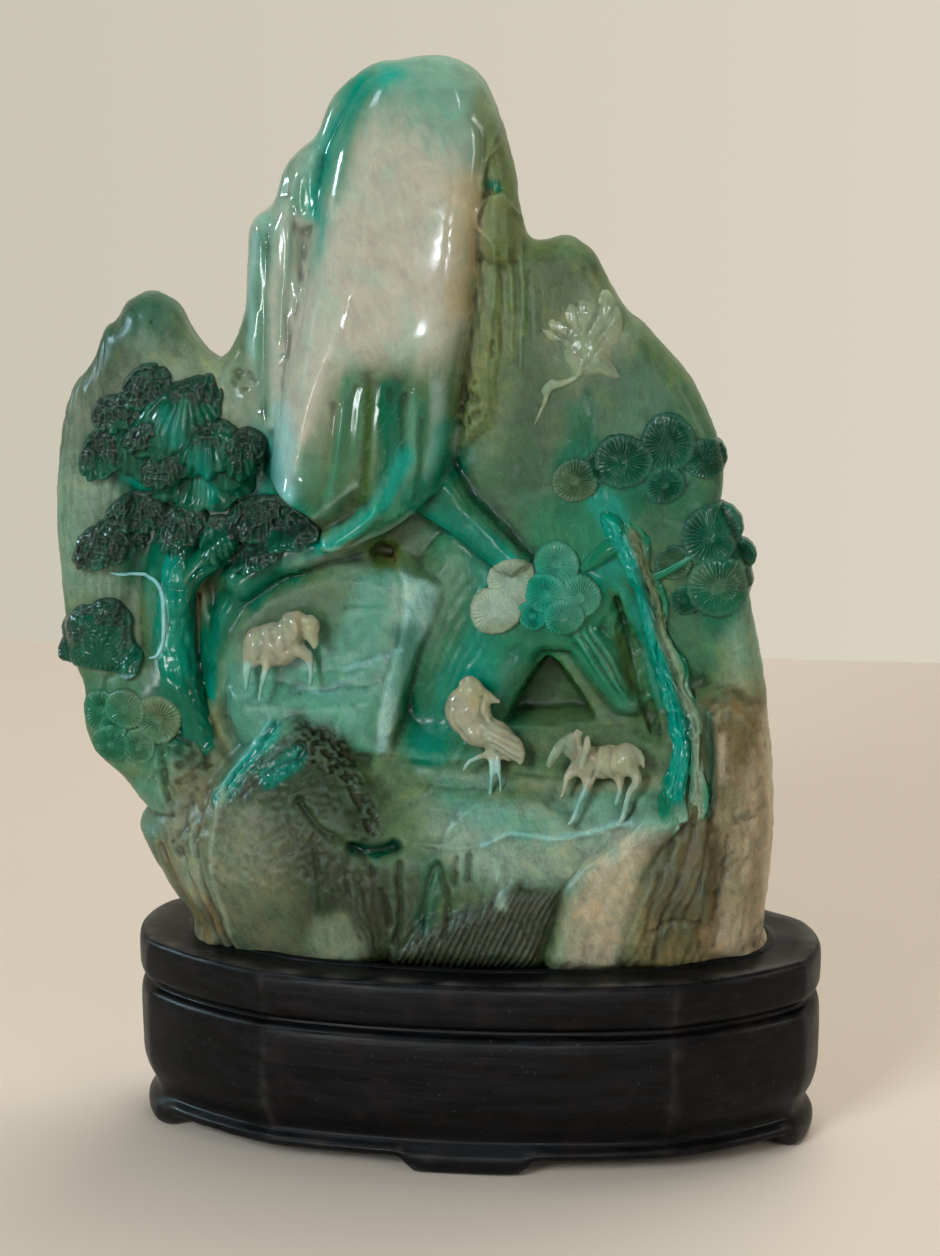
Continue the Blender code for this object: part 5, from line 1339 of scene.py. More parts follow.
# Streaks of colour: colour, strength, half width, softness, route.
STREAKS = (
    ("teal", 0.9, 1.3, 3.2, ((-10, 230), (-17, 226), (-22, 217), (-24.5, 206), (-26, 196), (-27.4, 190))),
    ("jade", 0.5, 1.6, 3, ((-15, 226), (-19.4, 217), (-21.6, 206))),
    # Painted highlight: these two rows paint the bluish glow round the highlight at the peak's lower left.
    ("teal", 0.75, 2.4, 3, ((-37, 154), (-35, 148), (-32, 142))),
    ("mist", 0.7, 1.6, 1.6, ((-33, 150), (-32.4, 145))),
    ("jade", 0.5, 1.2, 1.4, ((-27.4, 208), (-30.4, 194), (-32.4, 176))),
    ("jade", 0.5, 1.2, 1.4, ((-36.6, 196), (-37.6, 180), (-37, 160))),
    ("amber", 0.4, 2.2, 3, ((5, 208), (6, 196), (4.6, 184))),
    # Painted highlight: a milk-white line along the lower ridge of the peak.
    ("milk", 0.9, 0.5, 1.0, ((-14, 196), (-16.6, 189), (-24.8, 167), (-28.6, 151))),
    ("jade", 0.4, 1.6, 2, ((-15.6, 168), (-18, 154), (-22, 142))),
    ("dark moss", 0.7, 0.6, 1.0, ((-13.4, 170), (-14, 156), (-15.6, 146))),
    ("deep", 0.8, 0.9, 1.2, ((-7.6, 170), (-7.4, 156), (-9, 146))),
    ("jade", 0.6, 0.5, 1.0, ((-17.6, 170), (-19.6, 156), (-22.4, 144))),
    ("dark moss", 0.5, 0.4, 0.8, ((-10.8, 168), (-11.2, 156), (-12.6, 148))),
    ("mist", 0.4, 0.3, 0.8, ((-12, 166), (-12.4, 156), (-13.6, 148))),
    ("mist", 0.9, 1.0, 1.2, ((0.4, 168), (0.2, 156), (-1.4, 148))),
    ("teal", 0.7, 1.4, 2.4, ((-34.6, 152), (-32.6, 146.6), (-28, 142))),
    ("jade", 0.5, 2.0, 3, ((-26, 152), (-26, 144))),
    ("emerald", 0.85, 1.5, 1.6, ((-9.4, 167), (-9.6, 153), (-12, 142))),
    ("emerald", 0.5, 0.8, 1.2, ((-2.6, 163), (-3.6, 150), (-6, 142))),
    ("shadow", 0.6, 0.8, 1.2, ((-12.8, 166), (-13.6, 152), (-16, 141))),
    ("pale teal", 0.5, 0.9, 1.2, ((-4.6, 164), (-5.4, 150), (-8, 142))),
    ("teal", 0.6, 1.6, 2, ((1.6, 158), (0, 148), (-4, 143))),
    ("emerald", 0.9, 2.6, 2, ((-26, 131.6), (-32, 129), (-40, 125), (-44, 120))),
    ("teal", 0.85, 1.6, 1.6, ((-6.6, 153), (-9, 147), (-12.2, 142), (-17, 137.2), (-24, 133), (-32, 129.6))),
    ("pale teal", 0.6, 0.6, 0.8, ((-10.4, 148), (-13, 142.6), (-17.4, 138), (-23, 135))),
    ("jade", 0.7, 1.6, 1.8, ((-4, 143), (-9, 138.6), (-15, 134.8))),
    ("teal", 0.7, 1.2, 1.4, ((-24, 133), (-31, 130), (-37, 127))),
    ("mist", 0.5, 0.4, 0.6, ((-25.6, 139.4), (-20.4, 143.6), (-16.4, 147))),
    ("mist", 0.6, 0.4, 0.6, ((-24, 132.6), (-17.4, 133), (-8.9, 137.4), (-0.3, 145.2), (2.6, 149.8),
        (3.4, 156))),
    ("rust", 0.35, 0.4, 0.6, ((-18, 133.2), (-25, 129.6), (-33, 126.4), (-40, 121))),
    ("emerald", 0.95, 2.6, 2.5, ((-38, 124), (-46, 117), (-50.5, 108), (-51, 98))),
    ("teal", 0.6, 0.8, 1, ((-46.6, 116), (-49.4, 108), (-49.4, 98))),
    ("deep", 0.6, 1.2, 1.6, ((-52.6, 97), (-48, 87))),
    ("deep", 0.7, 3.4, 3, ((-61, 98), (-57, 90), (-52, 86))),
    ("deep", 0.7, 1.0, 1.2, ((4, 149), (8.4, 142), (14.6, 136), (20.4, 129))),
    ("emerald", 0.8, 3, 3, ((-60, 128), (-59, 116), (-59, 104), (-55, 92))),
    ("emerald", 0.9, 6.5, 3, ((-68, 152), (-58, 158), (-50, 150), (-42, 146))),
    ("emerald", 0.9, 6, 3, ((-60, 145), (-50, 141), (-42, 142), (-38, 146))),
    ("emerald", 0.9, 5.5, 3, ((-64, 128), (-54, 129), (-42, 129), (-34, 128))),
    ("teal", 0.5, 1.6, 2, ((-40, 150), (-38, 142), (-38, 136))),
    ("teal", 0.5, 1.4, 2, ((-66, 147), (-62, 140))),
    ("teal", 0.85, 2.4, 1.6, ((-2, 141), (4, 137), (9, 133.4), (15, 128.6))),
    ("emerald", 0.7, 3.5, 3, ((-2, 144), (4, 140), (10, 133))),
    ("emerald", 0.8, 2.6, 2.4, ((3.6, 150), (1, 146), (-3, 142))),
    ("emerald", 0.75, 3, 3, ((-7, 112), (-7, 98), (-3, 88))),
    ("teal", 0.35, 3, 3, ((4, 104), (2, 96), (-2, 90))),
    ("emerald", 0.6, 2.6, 3, ((29, 162), (29, 150), (27, 140))),
    ("emerald", 0.8, 5, 4, ((30, 150), (38, 146), (46, 148))),
    ("emerald", 0.85, 4.5, 4, ((60, 136), (60, 124))),
    ("jade", 0.8, 5, 5, ((34, 142), (34, 130), (28, 122))),
    ("teal", 0.75, 2.6, 2.4, ((34, 142), (38, 134), (35, 126), (42, 114), (47, 100))),
    ("jade", 0.7, 4, 4, ((14, 112), (30, 112), (34, 120))),
    ("emerald", 0.55, 2.4, 3, ((18, 110), (15, 100), (14, 92))),
    ("teal", 0.8, 1.0, 2.0, ((-46, 79), (-41, 85.4), (-35.4, 93))),
    # Painted highlight: blue-white along the blade's ridges.
    ("ice", 0.25, 0.3, 0.5, ((-46.9, 78.8), (-43.3, 84.7), (-40, 89), (-35.8, 94.6))),
    ("teal", 0.5, 1.8, 1.8, ((-36, 84), (-30, 88))),
    ("deep", 1.0, 1.3, 0.7, ((-17, 69.2), (-12.8, 68), (-8.6, 69.2))),
    # Painted highlight: the blue-white glow round the highlight at the peak's lower left.
    ("ice", 0.5, 2.2, 3, ((-32.6, 160), (-31.6, 152), (-31, 146))),
    # Painted highlight: a blue-white glint down the outer left column.
    ("ice", 0.35, 0.5, 1.0, ((-38.6, 196), (-39.6, 184), (-39.4, 172))),
    ("ice", 0.4, 0.4, 0.6, ((-20, 105.8), (-14.7, 107.7), (-8.3, 110.1))),
    ("ice", 0.4, 0.4, 0.6, ((-29.8, 100.7), (-23.3, 100.9), (-16.8, 105))),
    # Painted light: a pale line along the right edge, for the light that glows through it.
    ("milk", 0.9, 1.0, 1.0, ((71.6, 98), (72.2, 80), (72, 60), (70.6, 46))),
    ("pale ash", 0.6, 0.5, 0.7, ((-45.4, 80), (-47.6, 72), (-48, 62), (-44.6, 48))),
    ("emerald", 0.45, 1.6, 2, ((-1, 66), (-1.6, 58), (-3, 54))),
    ("pale teal", 0.7, 2.6, 3, ((2, 80), (10, 77), (22, 74), (34, 77), (48, 79))),
    ("mist", 0.4, 2.6, 3, ((26, 74), (34, 72), (44, 76))),
    # Painted highlight: blue-white along the terrace's raised rim.
    ("ice", 0.35, 0.4, 0.6, ((10, 70.6), (16, 73.4), (24, 72.4), (31.2, 72.8), (41.2, 76))),
    ("pale teal", 0.3, 1.4, 2, ((-62, 122), (-60, 108))),
    ("deep", 0.8, 0.9, 0.9, ((56.8, 98), (57.4, 86), (57.4, 77))),
    # Painted light: a pale line along the right edge, for the light that glows through it.
    ("pale earth", 0.95, 1.4, 2.4, ((70, 96), (72, 74), (71, 46))),
    ("pale earth", 0.5, 3.4, 3, ((62, 50), (66, 48))),
    ("slate", 0.5, 0.6, 0.8, ((58, 100.8), (62, 102), (66, 100))),
    ("slate", 0.6, 0.4, 0.7, ((63, 76), (69, 77.4))),
    ("slate", 0.5, 0.5, 0.8, ((49, 70), (52, 62), (50, 54), (46, 44))),
    ("slate", 0.4, 0.5, 0.8, ((56, 66), (57, 58), (54, 48))),
    ("pale earth", 0.6, 0.6, 1, ((60, 94), (60, 84))),
    ("pale earth", 0.5, 0.5, 0.9, ((66, 90), (67, 78), (65, 62))),
    ("earth", 0.6, 1.2, 1.4, ((-60, 66), (-54, 54), (-50, 44))),
    ("rust", 0.5, 0.7, 0.9, ((-52.4, 60), (-49.4, 54), (-47.4, 48))),
    ("shadow", 0.4, 0.8, 1, ((10, 207.6), (12.6, 207.2))),
    ("emerald", 0.9, 0.9, 0.8, ((10.4, 207.6), (12, 207.2))),
    ("rust", 0.4, 0.7, 1, ((-12, 130), (-10, 129))),
    ("shadow", 0.7, 1.1, 1.4, ((37, 122), (39, 116), (42, 107), (45, 97))),
    ("emerald", 0.7, 2.2, 2.6, ((-42, 121), (-47, 115), (-50, 104))),
    ("mist", 0.4, 1.4, 2, ((-30, 129.4), (-22, 129.6), (-17, 128))),
    # Painted light: milk lightens the peak's left side, which faces away from the light.
    ("milk", 0.7, 1.6, 2.4, ((-27.4, 198), (-28.6, 186), (-30.6, 172))),
    ("pale teal", 0.4, 2.4, 3, ((62, 124), (64, 116), (66, 108))),
    ("pale ash", 0.45, 2.4, 3, ((-56, 72), (-54, 66), (-52, 58))),
    ("emerald", 0.8, 2.4, 2.4, ((57, 130), (58, 124), (58, 116))),
    ("pale ash", 0.5, 1.6, 2.4, ((30, 52), (27, 46), (26, 42))),
    ("mist", 0.7, 0.7, 1.2, ((12, 66.6), (14, 63), (14, 58))),
    ("mist", 0.5, 0.5, 1.0, ((-4, 84), (8, 82.6), (14, 83))),
    ("pale teal", 0.5, 0.5, 1.0, ((-8, 88), (2, 86.6), (9, 87.2))),
    ("pale ash", 0.5, 0.5, 1.0, ((20, 82), (34, 81), (46, 83))),
    ("moss", 0.5, 0.6, 1.0, ((-4, 81), (10, 79.6), (20, 80))),
)

# Streaks on the pieces that stand on the stone, written as in the table above.
PIECE_STREAKS = {
    "left_pine_needles": (
        ("deep", 0.6, 30, 8, ((-70, 150), (-40, 138))),
        ("deep", 0.6, 12, 3, ((-76, 110), (-70, 108))),
        # Painted highlight: blue-white glints along the lower rim of the needle cloud.
        ("ice", 0.5, 0.4, 0.5, ((-81, 102.9), (-76, 102), (-70, 101.8), (-66, 102.6))),
        ("deep", 0.45, 3, 5, ((-72, 156), (-68, 150))),
        ("teal", 0.5, 1.6, 2, ((-50, 150), (-49, 142))),
        ("teal", 0.5, 1.2, 2, ((-57, 160), (-55, 154))),
    ),
    "left_pine_discs": (
        ("emerald", 0.7, 4, 3, ((-75, 92), (-72, 86))),
        ("earth", 0.3, 3.6, 2, ((-63, 92), (-62, 90))),
        ("jade", 0.5, 5, 3, ((-72, 94), (-64, 88))),
        ("deep", 0.55, 7, 5, ((-74, 112), (-72, 106))),
    ),
    "right_pine_discs": (
        ("moss", 0.6, 4, 3, ((26, 146), (28, 144))),
        ("emerald", 0.5, 3, 4, ((38, 148), (44, 146), (50, 150))),
        ("emerald", 0.6, 4, 3, ((58, 138), (56, 132))),
        ("jade", 0.5, 3, 3, ((54, 124), (60, 121))),
        ("moss", 0.4, 2, 3, ((64, 126), (48, 129))),
    ),
    "middle_pine_discs": (
        ("teal", 0.6, 3, 4, ((24, 126), (20, 118))),
        ("pale teal", 0.6, 3, 3, ((32, 122), (28, 118), (25, 129))),
    ),
    "pale_discs": (("mist", 0.8, 3, 3, ((12, 119), (15, 125))),),
    "left_pine_wood": (
        ("deep", 0.7, 1.0, 1.6, ((-51.6, 130), (-53, 118), (-53, 104), (-49, 90))),
        ("pale teal", 0.2, 0.5, 1.0, ((-61.4, 120), (-62, 108), (-60.6, 98))),
        ("teal", 0.6, 2.4, 2, ((-58, 132), (-58, 116), (-57, 104))),
        ("jade", 0.4, 3, 3, ((-58, 118), (-58, 100))),
        # The thin branch's pale line, with a blue-white highlight painted along it.
        ("ice", 0.75, 0.55, 0.3, ((-72, 124.6), (-62.2, 123.8), (-60.1, 122.3), (-58.9, 118.8), (-59.2, 110),
            (-60.6, 106.8), (-63, 106.1))),
        ("emerald", 0.7, 2.5, 3, ((-56, 100), (-49, 84))),
    ),
    "right_pine_wood": (
        ("pale teal", 0.6, 0.9, 1.0, ((40, 127), (43.6, 118), (47.6, 105), (50.6, 95), (51.4, 86))),
        ("teal", 0.95, 1.4, 1.2, ((35, 138), (39, 132), (43, 121.9), (45, 113), (47.1, 106.2), (49.7, 98.5),
            (51, 90), (50.2, 82))),
        ("rust", 0.45, 1.0, 1.2, ((40.4, 136), (43.6, 127), (46.6, 117))),
        ("pale ash", 0.75, 1.0, 1.2, ((46.6, 116.4), (50, 105.6), (54, 96), (55.2, 87), (55, 76))),
        ("deep", 0.7, 0.5, 0.8, ((41.6, 128), (45.2, 118), (49.2, 106), (52.2, 96), (53, 88))),
        ("mist", 0.6, 2.6, 3, ((52, 77), (52, 71))),
    ),
}
ANIMAL_STAINS = (
    # The first seven rows paint blue-white highlights on the animals' legs.
    ("ice", 0.5, 1.0, 1.0, ((-40.3, 106), (-40.2, 102))),
    ("ice", 0.5, 1.0, 1.0, ((-37, 105), (-37.6, 100))),
    ("ice", 0.5, 1.0, 1.0, ((-27.4, 107), (-27.2, 103))),
    ("ice", 0.5, 1.6, 1.0, ((12, 86), (12.4, 80))),
    ("ice", 0.5, 1.0, 1.0, ((8, 87.4), (5.4, 85))),
    ("ice", 0.5, 1.6, 1.4, ((30, 81), (29, 75))),
    ("ice", 0.4, 1.2, 1.4, ((39, 81), (38.6, 77))),
    ("amber", 0.25, 1.5, 1.5, ((-29, 117), (-26, 115))),
    ("amber", 0.3, 2, 2, ((7, 103), (10, 101))),
    ("jade", 0.4, 2, 2, ((27, 92), (24, 88))),
    ("amber", 0.2, 2.5, 3, ((36, 90), (40, 88))),
    ("pale teal", 0.7, 2, 3, ((-40, 102), (-28, 104))),
    ("pale teal", 0.7, 2, 3, ((5, 80), (14, 82))),
    ("pale teal", 0.5, 2, 3, ((28, 78), (40, 80))),
)
# How the colours wander, as layers of (distance, size, seed), and as upright wisps.
DRIFT_X, DRIFT_Z = ((1.3, 6.0, 21), (0.6, 2.5, 22)), ((1.6, 8.0, 23), (0.6, 2.5, 24))
WISPS, WISP_STRETCH = ((2.2, 1.8, 25),), (1.0, 1.0, 0.2)
BACK_STRENGTH = 0.4  # what is left of a stain's strength at the back
# The pale colour that is painted on edges as a highlight.
PAINTED_EDGE_HIGHLIGHT = (0.62, 0.8, 0.74)
DRIPS, DRIP_STRETCH = 0.28, (1, 1, 0.13)
# What counts as a hollow, which gets painted shade, and as an edge, which gets a painted highlight, in mm,
# and as green stone, by how little red it has.
HOLLOW_RANGE, EDGE_RANGE, GREEN_RANGE = (0.02, 0.35), (0.03, 0.4), (0.45, 0.9)


def linear(colour):
    """A colour as a shader takes it, from one as it looks on a screen."""
    value = np.array(colour, float)
    return np.where(value <= 0.04045, value / 12.92, ((value + 0.055) / 1.055) ** 2.4)


def tint(name, description, red, green, blue):
    colour = (red / 255, green / 255, blue / 255)
    return bpy.props.FloatVectorProperty(name=name, description=description, subtype="COLOR_GAMMA", size=3,
                                         min=0, max=1, default=colour)


class CarvingColours(bpy.types.PropertyGroup):
    """The colours of the stone, the stand and the stage, as they look in plain light."""

    milk: tint("Milk", "The smooth grey-white peak", 172, 169, 154)
    mist: tint("Mist", "Pale grey-green stone", 132, 156, 142)
    # Ice stands for blue-white veins, and it also paints highlights and glows on thin edges, rims, the
    # animals' legs and the peak's lower left.
    ice: tint("Ice", "Blue-white veins and thin edges", 148, 196, 198)
    pale_teal: tint("Pale teal", "Ledge and terrace", 84, 136, 118)
    teal: tint("Teal", "Lit folds and edges", 8, 134, 118)
    jade: tint("Jade", "Green middle walls", 40, 108, 82)
    emerald: tint("Emerald", "Deep green stone", 0, 86, 64)
    deep: tint("Deep green", "Green in the shade of the pines", 8, 58, 40)
    moss: tint("Moss", "Grey-green walls", 80, 102, 72)
    dark_moss: tint("Dark moss", "Pitted moss", 36, 47, 24)
    olive: tint("Olive", "Olive stone of the right side", 96, 104, 64)
    ash: tint("Ash", "Speckled grey stone of the boulders", 88, 92, 72)
    pale_ash: tint("Pale ash", "Pale patches of the grey stone", 130, 140, 116)
    slate: tint("Slate", "The dark ruled rock", 46, 50, 34)
    shadow: tint("Shadow", "Floors of the caves", 50, 84, 34)
    earth: tint("Earth", "Brown stone at the foot", 108, 97, 68)
    pale_earth: tint("Pale earth", "Pale folds at the foot", 172, 161, 140)
    rust: tint("Rust", "Iron stains in the cracks", 116, 78, 52)
    amber: tint("Amber", "The warm patch on the peak", 176, 152, 108)
    crust: tint("Crust", "Brown skin left on the pines", 44, 50, 45)
    bone: tint("Bone", "The animals", 146, 146, 126)
    wood: tint("Hardwood", "The stand's dark wood", 8, 9, 11)
    cloth: tint("Floor", "The pale floor", 196, 186, 173)
    wall: tint("Background", "The pale background", 212, 205, 188)


def fine(name, description, millimetres):
    return bpy.props.FloatProperty(name=name, description=description, subtype="DISTANCE", unit="LENGTH",
                                   min=0.0001, max=0.005, precision=5, default=millimetres * MM)


class CarvingSizes(bpy.types.PropertyGroup):
    """How finely the pieces are meshed."""

    slab: fine("Slab", "Mesh size of the slab that is drawn out to the mountain's depth", 0.85)
    stone: fine("Stone", "Mesh size of the mountain before it is carved", 0.5)
    needles: fine("Needles", "Step between the points of the left pine's needles", 0.22)
    animals: fine("Animals", "Mesh size of the animals", 0.3)
    triangles: bpy.props.IntProperty(name="Triangles", description="Most triangles in the mountain",
                                     default=190000, min=20000, max=199000)


def palette():
    colours = bpy.context.scene.carving_colours
    return {name.replace("_", " "): linear(getattr(colours, name)) for name in CarvingColours.__annotations__}


def stained(at, base, areas, streaks):
    """The stone's own colour at each point. Areas and streaks run through the stone from front to back."""
    colours = palette()
    drift_x = layered_lumps(at, DRIFT_X)
    drift_z = layered_lumps(at, DRIFT_Z) + layered_lumps(at * WISP_STRETCH, WISPS)
    through = 1 - (1 - BACK_STRENGTH) * smooth_step(-2, 8, at[:, 1])
    stain = np.tile(colours[base], (len(at), 1))
    for name, strength, soft, outline in areas:
        part = min(1.0, soft / 4)
        inside = inside_depth(at[:, 0] + drift_x * part, at[:, 2] + drift_z * part, outline)
        share = strength * through * smooth_step(-soft, soft, inside)
        stain += (colours[name] - stain) * share[:, None]
    for name, strength, half, soft, route in streaks:
        part = min(1.0, soft / 3)
        away = away_from_route(at[:, 0] + drift_x * part, at[:, 2] + drift_z * part * 0.7, route)
        share = strength * through * (1 - smooth_step(half - soft * 0.5, half + soft, away))
        stain += (colours[name] - stain) * share[:, None]
    return stain


def store(piece, name, values):
    """Keeps one number or one colour for each point of a piece, for its material."""
    kind = "FLOAT" if values.ndim == 1 else "FLOAT_COLOR"
    layer = piece.data.attributes.new(name, kind, "POINT")
    if kind == "FLOAT":
        layer.data.foreach_set("value", values.astype(np.float32))
    else:
        opaque = np.concatenate((values, np.ones((len(values), 1))), axis=1)
        layer.data.foreach_set("color", opaque.astype(np.float32).ravel())


def crust_of(piece):
    values = np.empty(len(piece.data.vertices), np.float32)
    piece.data.attributes["crust"].data.foreach_get("value", values)
    return values.astype(float)


def colour_piece(piece, base, areas, streaks, wear_and_painted_light, edge, dull):
    """Stains a jade piece, paints shade into its hollows and paints highlights on its edges. Green stone
    shines more than brown.
    """
    at = points_of(piece) / MM
    hollow = hollowness(piece, 6)
    stain = stained(at, base, areas, streaks)
    # Painted shade and highlight: the colour is darkened in hollows, where shade falls, and lightened on
    # edges towards a pale highlight colour.
    dark = smooth_step(*HOLLOW_RANGE, hollow)[:, None]
    painted_highlight = smooth_step(*EDGE_RANGE, -hollow)[:, None]
    green = smooth_step(*GREEN_RANGE, 1 - stain[:, 0] / stain[:, 1])
    stain = stain * (1 - wear_and_painted_light * dark) + (linear(PAINTED_EDGE_HIGHLIGHT) - stain) * painted_highlight * edge
    if "crust" in piece.data.attributes:
        crust = crust_of(piece)
        drips = DRIPS * smooth_step(0.2, 0.7, lumps(at * DRIP_STRETCH, 1.1, 36))
        stain += (palette()["pale teal"] - stain) * drips[:, None]
        # Painted highlight: the brown skin is paler on its ridges and edges.
        skin = palette()["crust"] * (0.7 + 1.1 * painted_highlight)
        stain += (skin - stain) * (crust * (0.7 + 0.3 * lumps(at, 1.2, 33)))[:, None]
        green *= 1 - crust
    store(piece, "stain", np.clip(stain, 0, 1))
    polished = smooth_step(-3, 3, inside_depth(at[:, 0], at[:, 2], POLISHED)) * smooth_step(2, -2, at[:, 1])
    store(piece, "skin", (1 - polished) * dull * (1 - 0.6 * green))


# ---- shader maths ----


class Link:
    """A shader node's output. Python's operators on it add Math nodes."""

    def __init__(self, paint, socket):
        self.paint, self.socket = paint, socket

    def maths(self, operation, first, second):
        return self.paint.node("ShaderNodeMath", {"operation": operation}, {0: first, 1: second})

    def __add__(self, other):
        return self.maths("ADD", self, other)

    def __sub__(self, other):
        return self.maths("SUBTRACT", self, other)

    def __rsub__(self, other):
        return self.maths("SUBTRACT", other, self)

    def __mul__(self, other):
        return self.maths("MULTIPLY", self, other)

    __radd__ = __add__
    __rmul__ = __mul__

    def between(self, low, high):
        """0 below low, 1 above high, and smooth from one to the other."""
        return self.paint.node("ShaderNodeMapRange", {"interpolation_type": "SMOOTHSTEP"},
                               {"Value": self, "From Min": low, "From Max": high})


class Paint:
    """The nodes of a new material or world."""

    def __init__(self, owner):
        self.owner = owner
        owner.use_nodes = True
        self.tree = owner.node_tree
        self.tree.nodes.clear()

    def node(self, kind, settings, sockets, output=0):
        made = self.tree.nodes.new(kind)
        for name, value in settings.items():
            setattr(made, name, value)
        for key, value in sockets.items():
            if isinstance(value, Link):
                self.tree.links.new(value.socket, made.inputs[key])
            else:
                made.inputs[key].default_value = value
        return Link(self, made.outputs[output]) if made.outputs else None

    def place(self, scale=(1, 1, 1), turn=(0, 0, 0)):
        """Object coordinates in millimetres, turned and then stretched by scale."""
        own = self.node("ShaderNodeTexCoord", {}, {}, "Object")
        settings = {"rotation_type": "EULER_XYZ"}
        own = self.node("ShaderNodeVectorRotate", settings, {"Vector": own, "Rotation": turn})
        scale = tuple(value / MM for value in scale)
        return self.node("ShaderNodeMapping", {}, {"Vector": own, "Scale": scale})

    def stored(self, name, output="Fac"):
        return self.node("ShaderNodeAttribute", {"attribute_name": name}, {}, output)

    def noise(self, at, size, detail=2.0, roughness=0.5, distortion=0.0):
        return self.node("ShaderNodeTexNoise", {}, {"Vector": at, "Scale": 1 / size, "Detail": detail,
                                                    "Roughness": roughness, "Distortion": distortion})

    def mix(self, share, first, second, blend="MIX"):
        """Two colours mixed. A colour is a link or three numbers."""
        first, second = (colour if isinstance(colour, Link) else (*colour, 1) for colour in (first, second))
        settings = {"data_type": "RGBA", "blend_type": blend}
        return self.node("ShaderNodeMix", settings, {0: share, 6: first, 7: second}, 2)

    def bump(self, height):
        distance = BUMP_DEPTH * MM
        return self.node("ShaderNodeBump", {}, {"Height": height, "Strength": BUMP, "Distance": distance})

    def finish(self, **sockets):
        named = {name.replace("_", " "): value for name, value in sockets.items()}
        shader = self.node("ShaderNodeBsdfPrincipled", {}, named)
        self.node("ShaderNodeOutputMaterial", {}, {"Surface": shader})
        return self.owner


# Finish of the stone: tints that its clouds and patches multiply it by, and colours of its veins and specks.
PATCH_TINT, CLOUD_TINT, STONE_SATURATION = (0.6, 1.05, 1.0), (1.2, 0.97, 0.82), 1.12
VEIN, SPECK = (0.6, 0.72, 0.66), (0.15, 0.16, 0.11)
# Noises in the stone: size, detail, roughness, distortion. The wood's are stretched along its grain.
CLOUDS, PATCHES, STROKES = (5.0, 4.0, 0.55, 0.8), (9.0, 3.0, 0.55, 1.0), (1.6, 3.0, 0.55, 1.4)
THREADS, GRAIN = (3.0, 2.0, 0.5, 1.6), (0.42, 3.0, 0.6)
WOOD_STREAKS, WOOD_PORES = (1.0, 5.0, 0.65, 0.4), (1.0, 2.0, 0.5)
WOOD_DUST, WOOD_LINT = (7.0, 4.0, 0.6), (0.7, 2.0, 0.5)
STREAK_STRETCH, PORE_STRETCH = (0.035, 0.3, 0.55), (0.09, 0.8, 1.6)
STONE_IOR, STONE_SHINE, WOOD_IOR, WOOD_SHINE = 1.5, 0.22, 1.45, 0.16
LIGHT_REACH = (0.0014, 0.0022, 0.0019)  # how far red, green and blue light go into the stone, in metres
BUMP, BUMP_DEPTH = 0.4, 0.12
# Finish of the wood: its palest and darkest grain as parts of its colour, and its dust, pores, lint, and the
# paler brown of its edges, for their wear and as a painted highlight.
GRAIN_DARK, GRAIN_PALE = 0.3, 1.7
DUST, PORE = (0.012, 0.0045, 0.004), (0.002, 0.0018, 0.0018)
LINT, EDGE_WEAR_AND_HIGHLIGHT = (0.1, 0.1, 0.1), (0.075, 0.068, 0.062)


def jade_finish(name, gloss, depth):
    """Polished jade: cloudy colour, fine veins and specks, and a duller skin where it isn't polished."""
    paint = Paint(bpy.data.materials.new(name))
    stain, skin, at = paint.stored("stain", "Color"), paint.stored("skin"), paint.place()
    clouds = paint.noise(at, *CLOUDS)
    patches = paint.noise(paint.place((1.0, 1.0, 0.6), (0, 0.4, 0)), *PATCHES)
    strokes = paint.noise(paint.place((1.0, 1.0, 0.3), (0, 0.3, 0)), *STROKES)
    threads = paint.noise(paint.place((1.0, 1.0, 0.3), (0, -0.5, 0)), *THREADS)
    grain = paint.noise(at, *GRAIN)
    lit = paint.mix(patches.between(0.48, 0.68) * (0.34 - 0.08 * skin), stain, PATCH_TINT, "MULTIPLY")
    lit = paint.mix(clouds.between(0.5, 0.68) * (0.06 + 0.5 * skin), lit, CLOUD_TINT, "MULTIPLY")
    thread = (0.6 - 0.4 * skin) * threads.between(0.485, 0.5) * (1.0 - threads.between(0.5, 0.515))
    lit = paint.mix(thread * 0.18, lit, linear(VEIN))
    shade = 1.1 * (clouds - 0.5) + 0.7 * (strokes - 0.5) + (0.1 + 0.8 * skin) * (grain - 0.5)
    sockets = {"Color": lit, "Value": 1.0 + 1.1 * shade * (0.45 + 0.5 * skin), "Saturation": STONE_SATURATION}
    lit = paint.node("ShaderNodeHueSaturation", {}, sockets)
    specks = grain.between(0.6, 0.7) * clouds.between(0.42, 0.6)
    lit = paint.mix(specks * (0.05 + 0.4 * skin), lit, linear(SPECK))
    rough = gloss + 0.27 * skin + 0.3 * (strokes - 0.5) * skin + 0.1 * (clouds - 0.5)
    relief = paint.bump(0.5 * strokes * (0.15 + skin) + 0.6 * grain * skin + 0.5 * clouds)
    return paint.finish(Base_Color=lit, Roughness=rough, Normal=relief, IOR=STONE_IOR,
                        Specular_IOR_Level=STONE_SHINE, Subsurface_Weight=depth,
                        Subsurface_Radius=LIGHT_REACH, Subsurface_Scale=1.0)


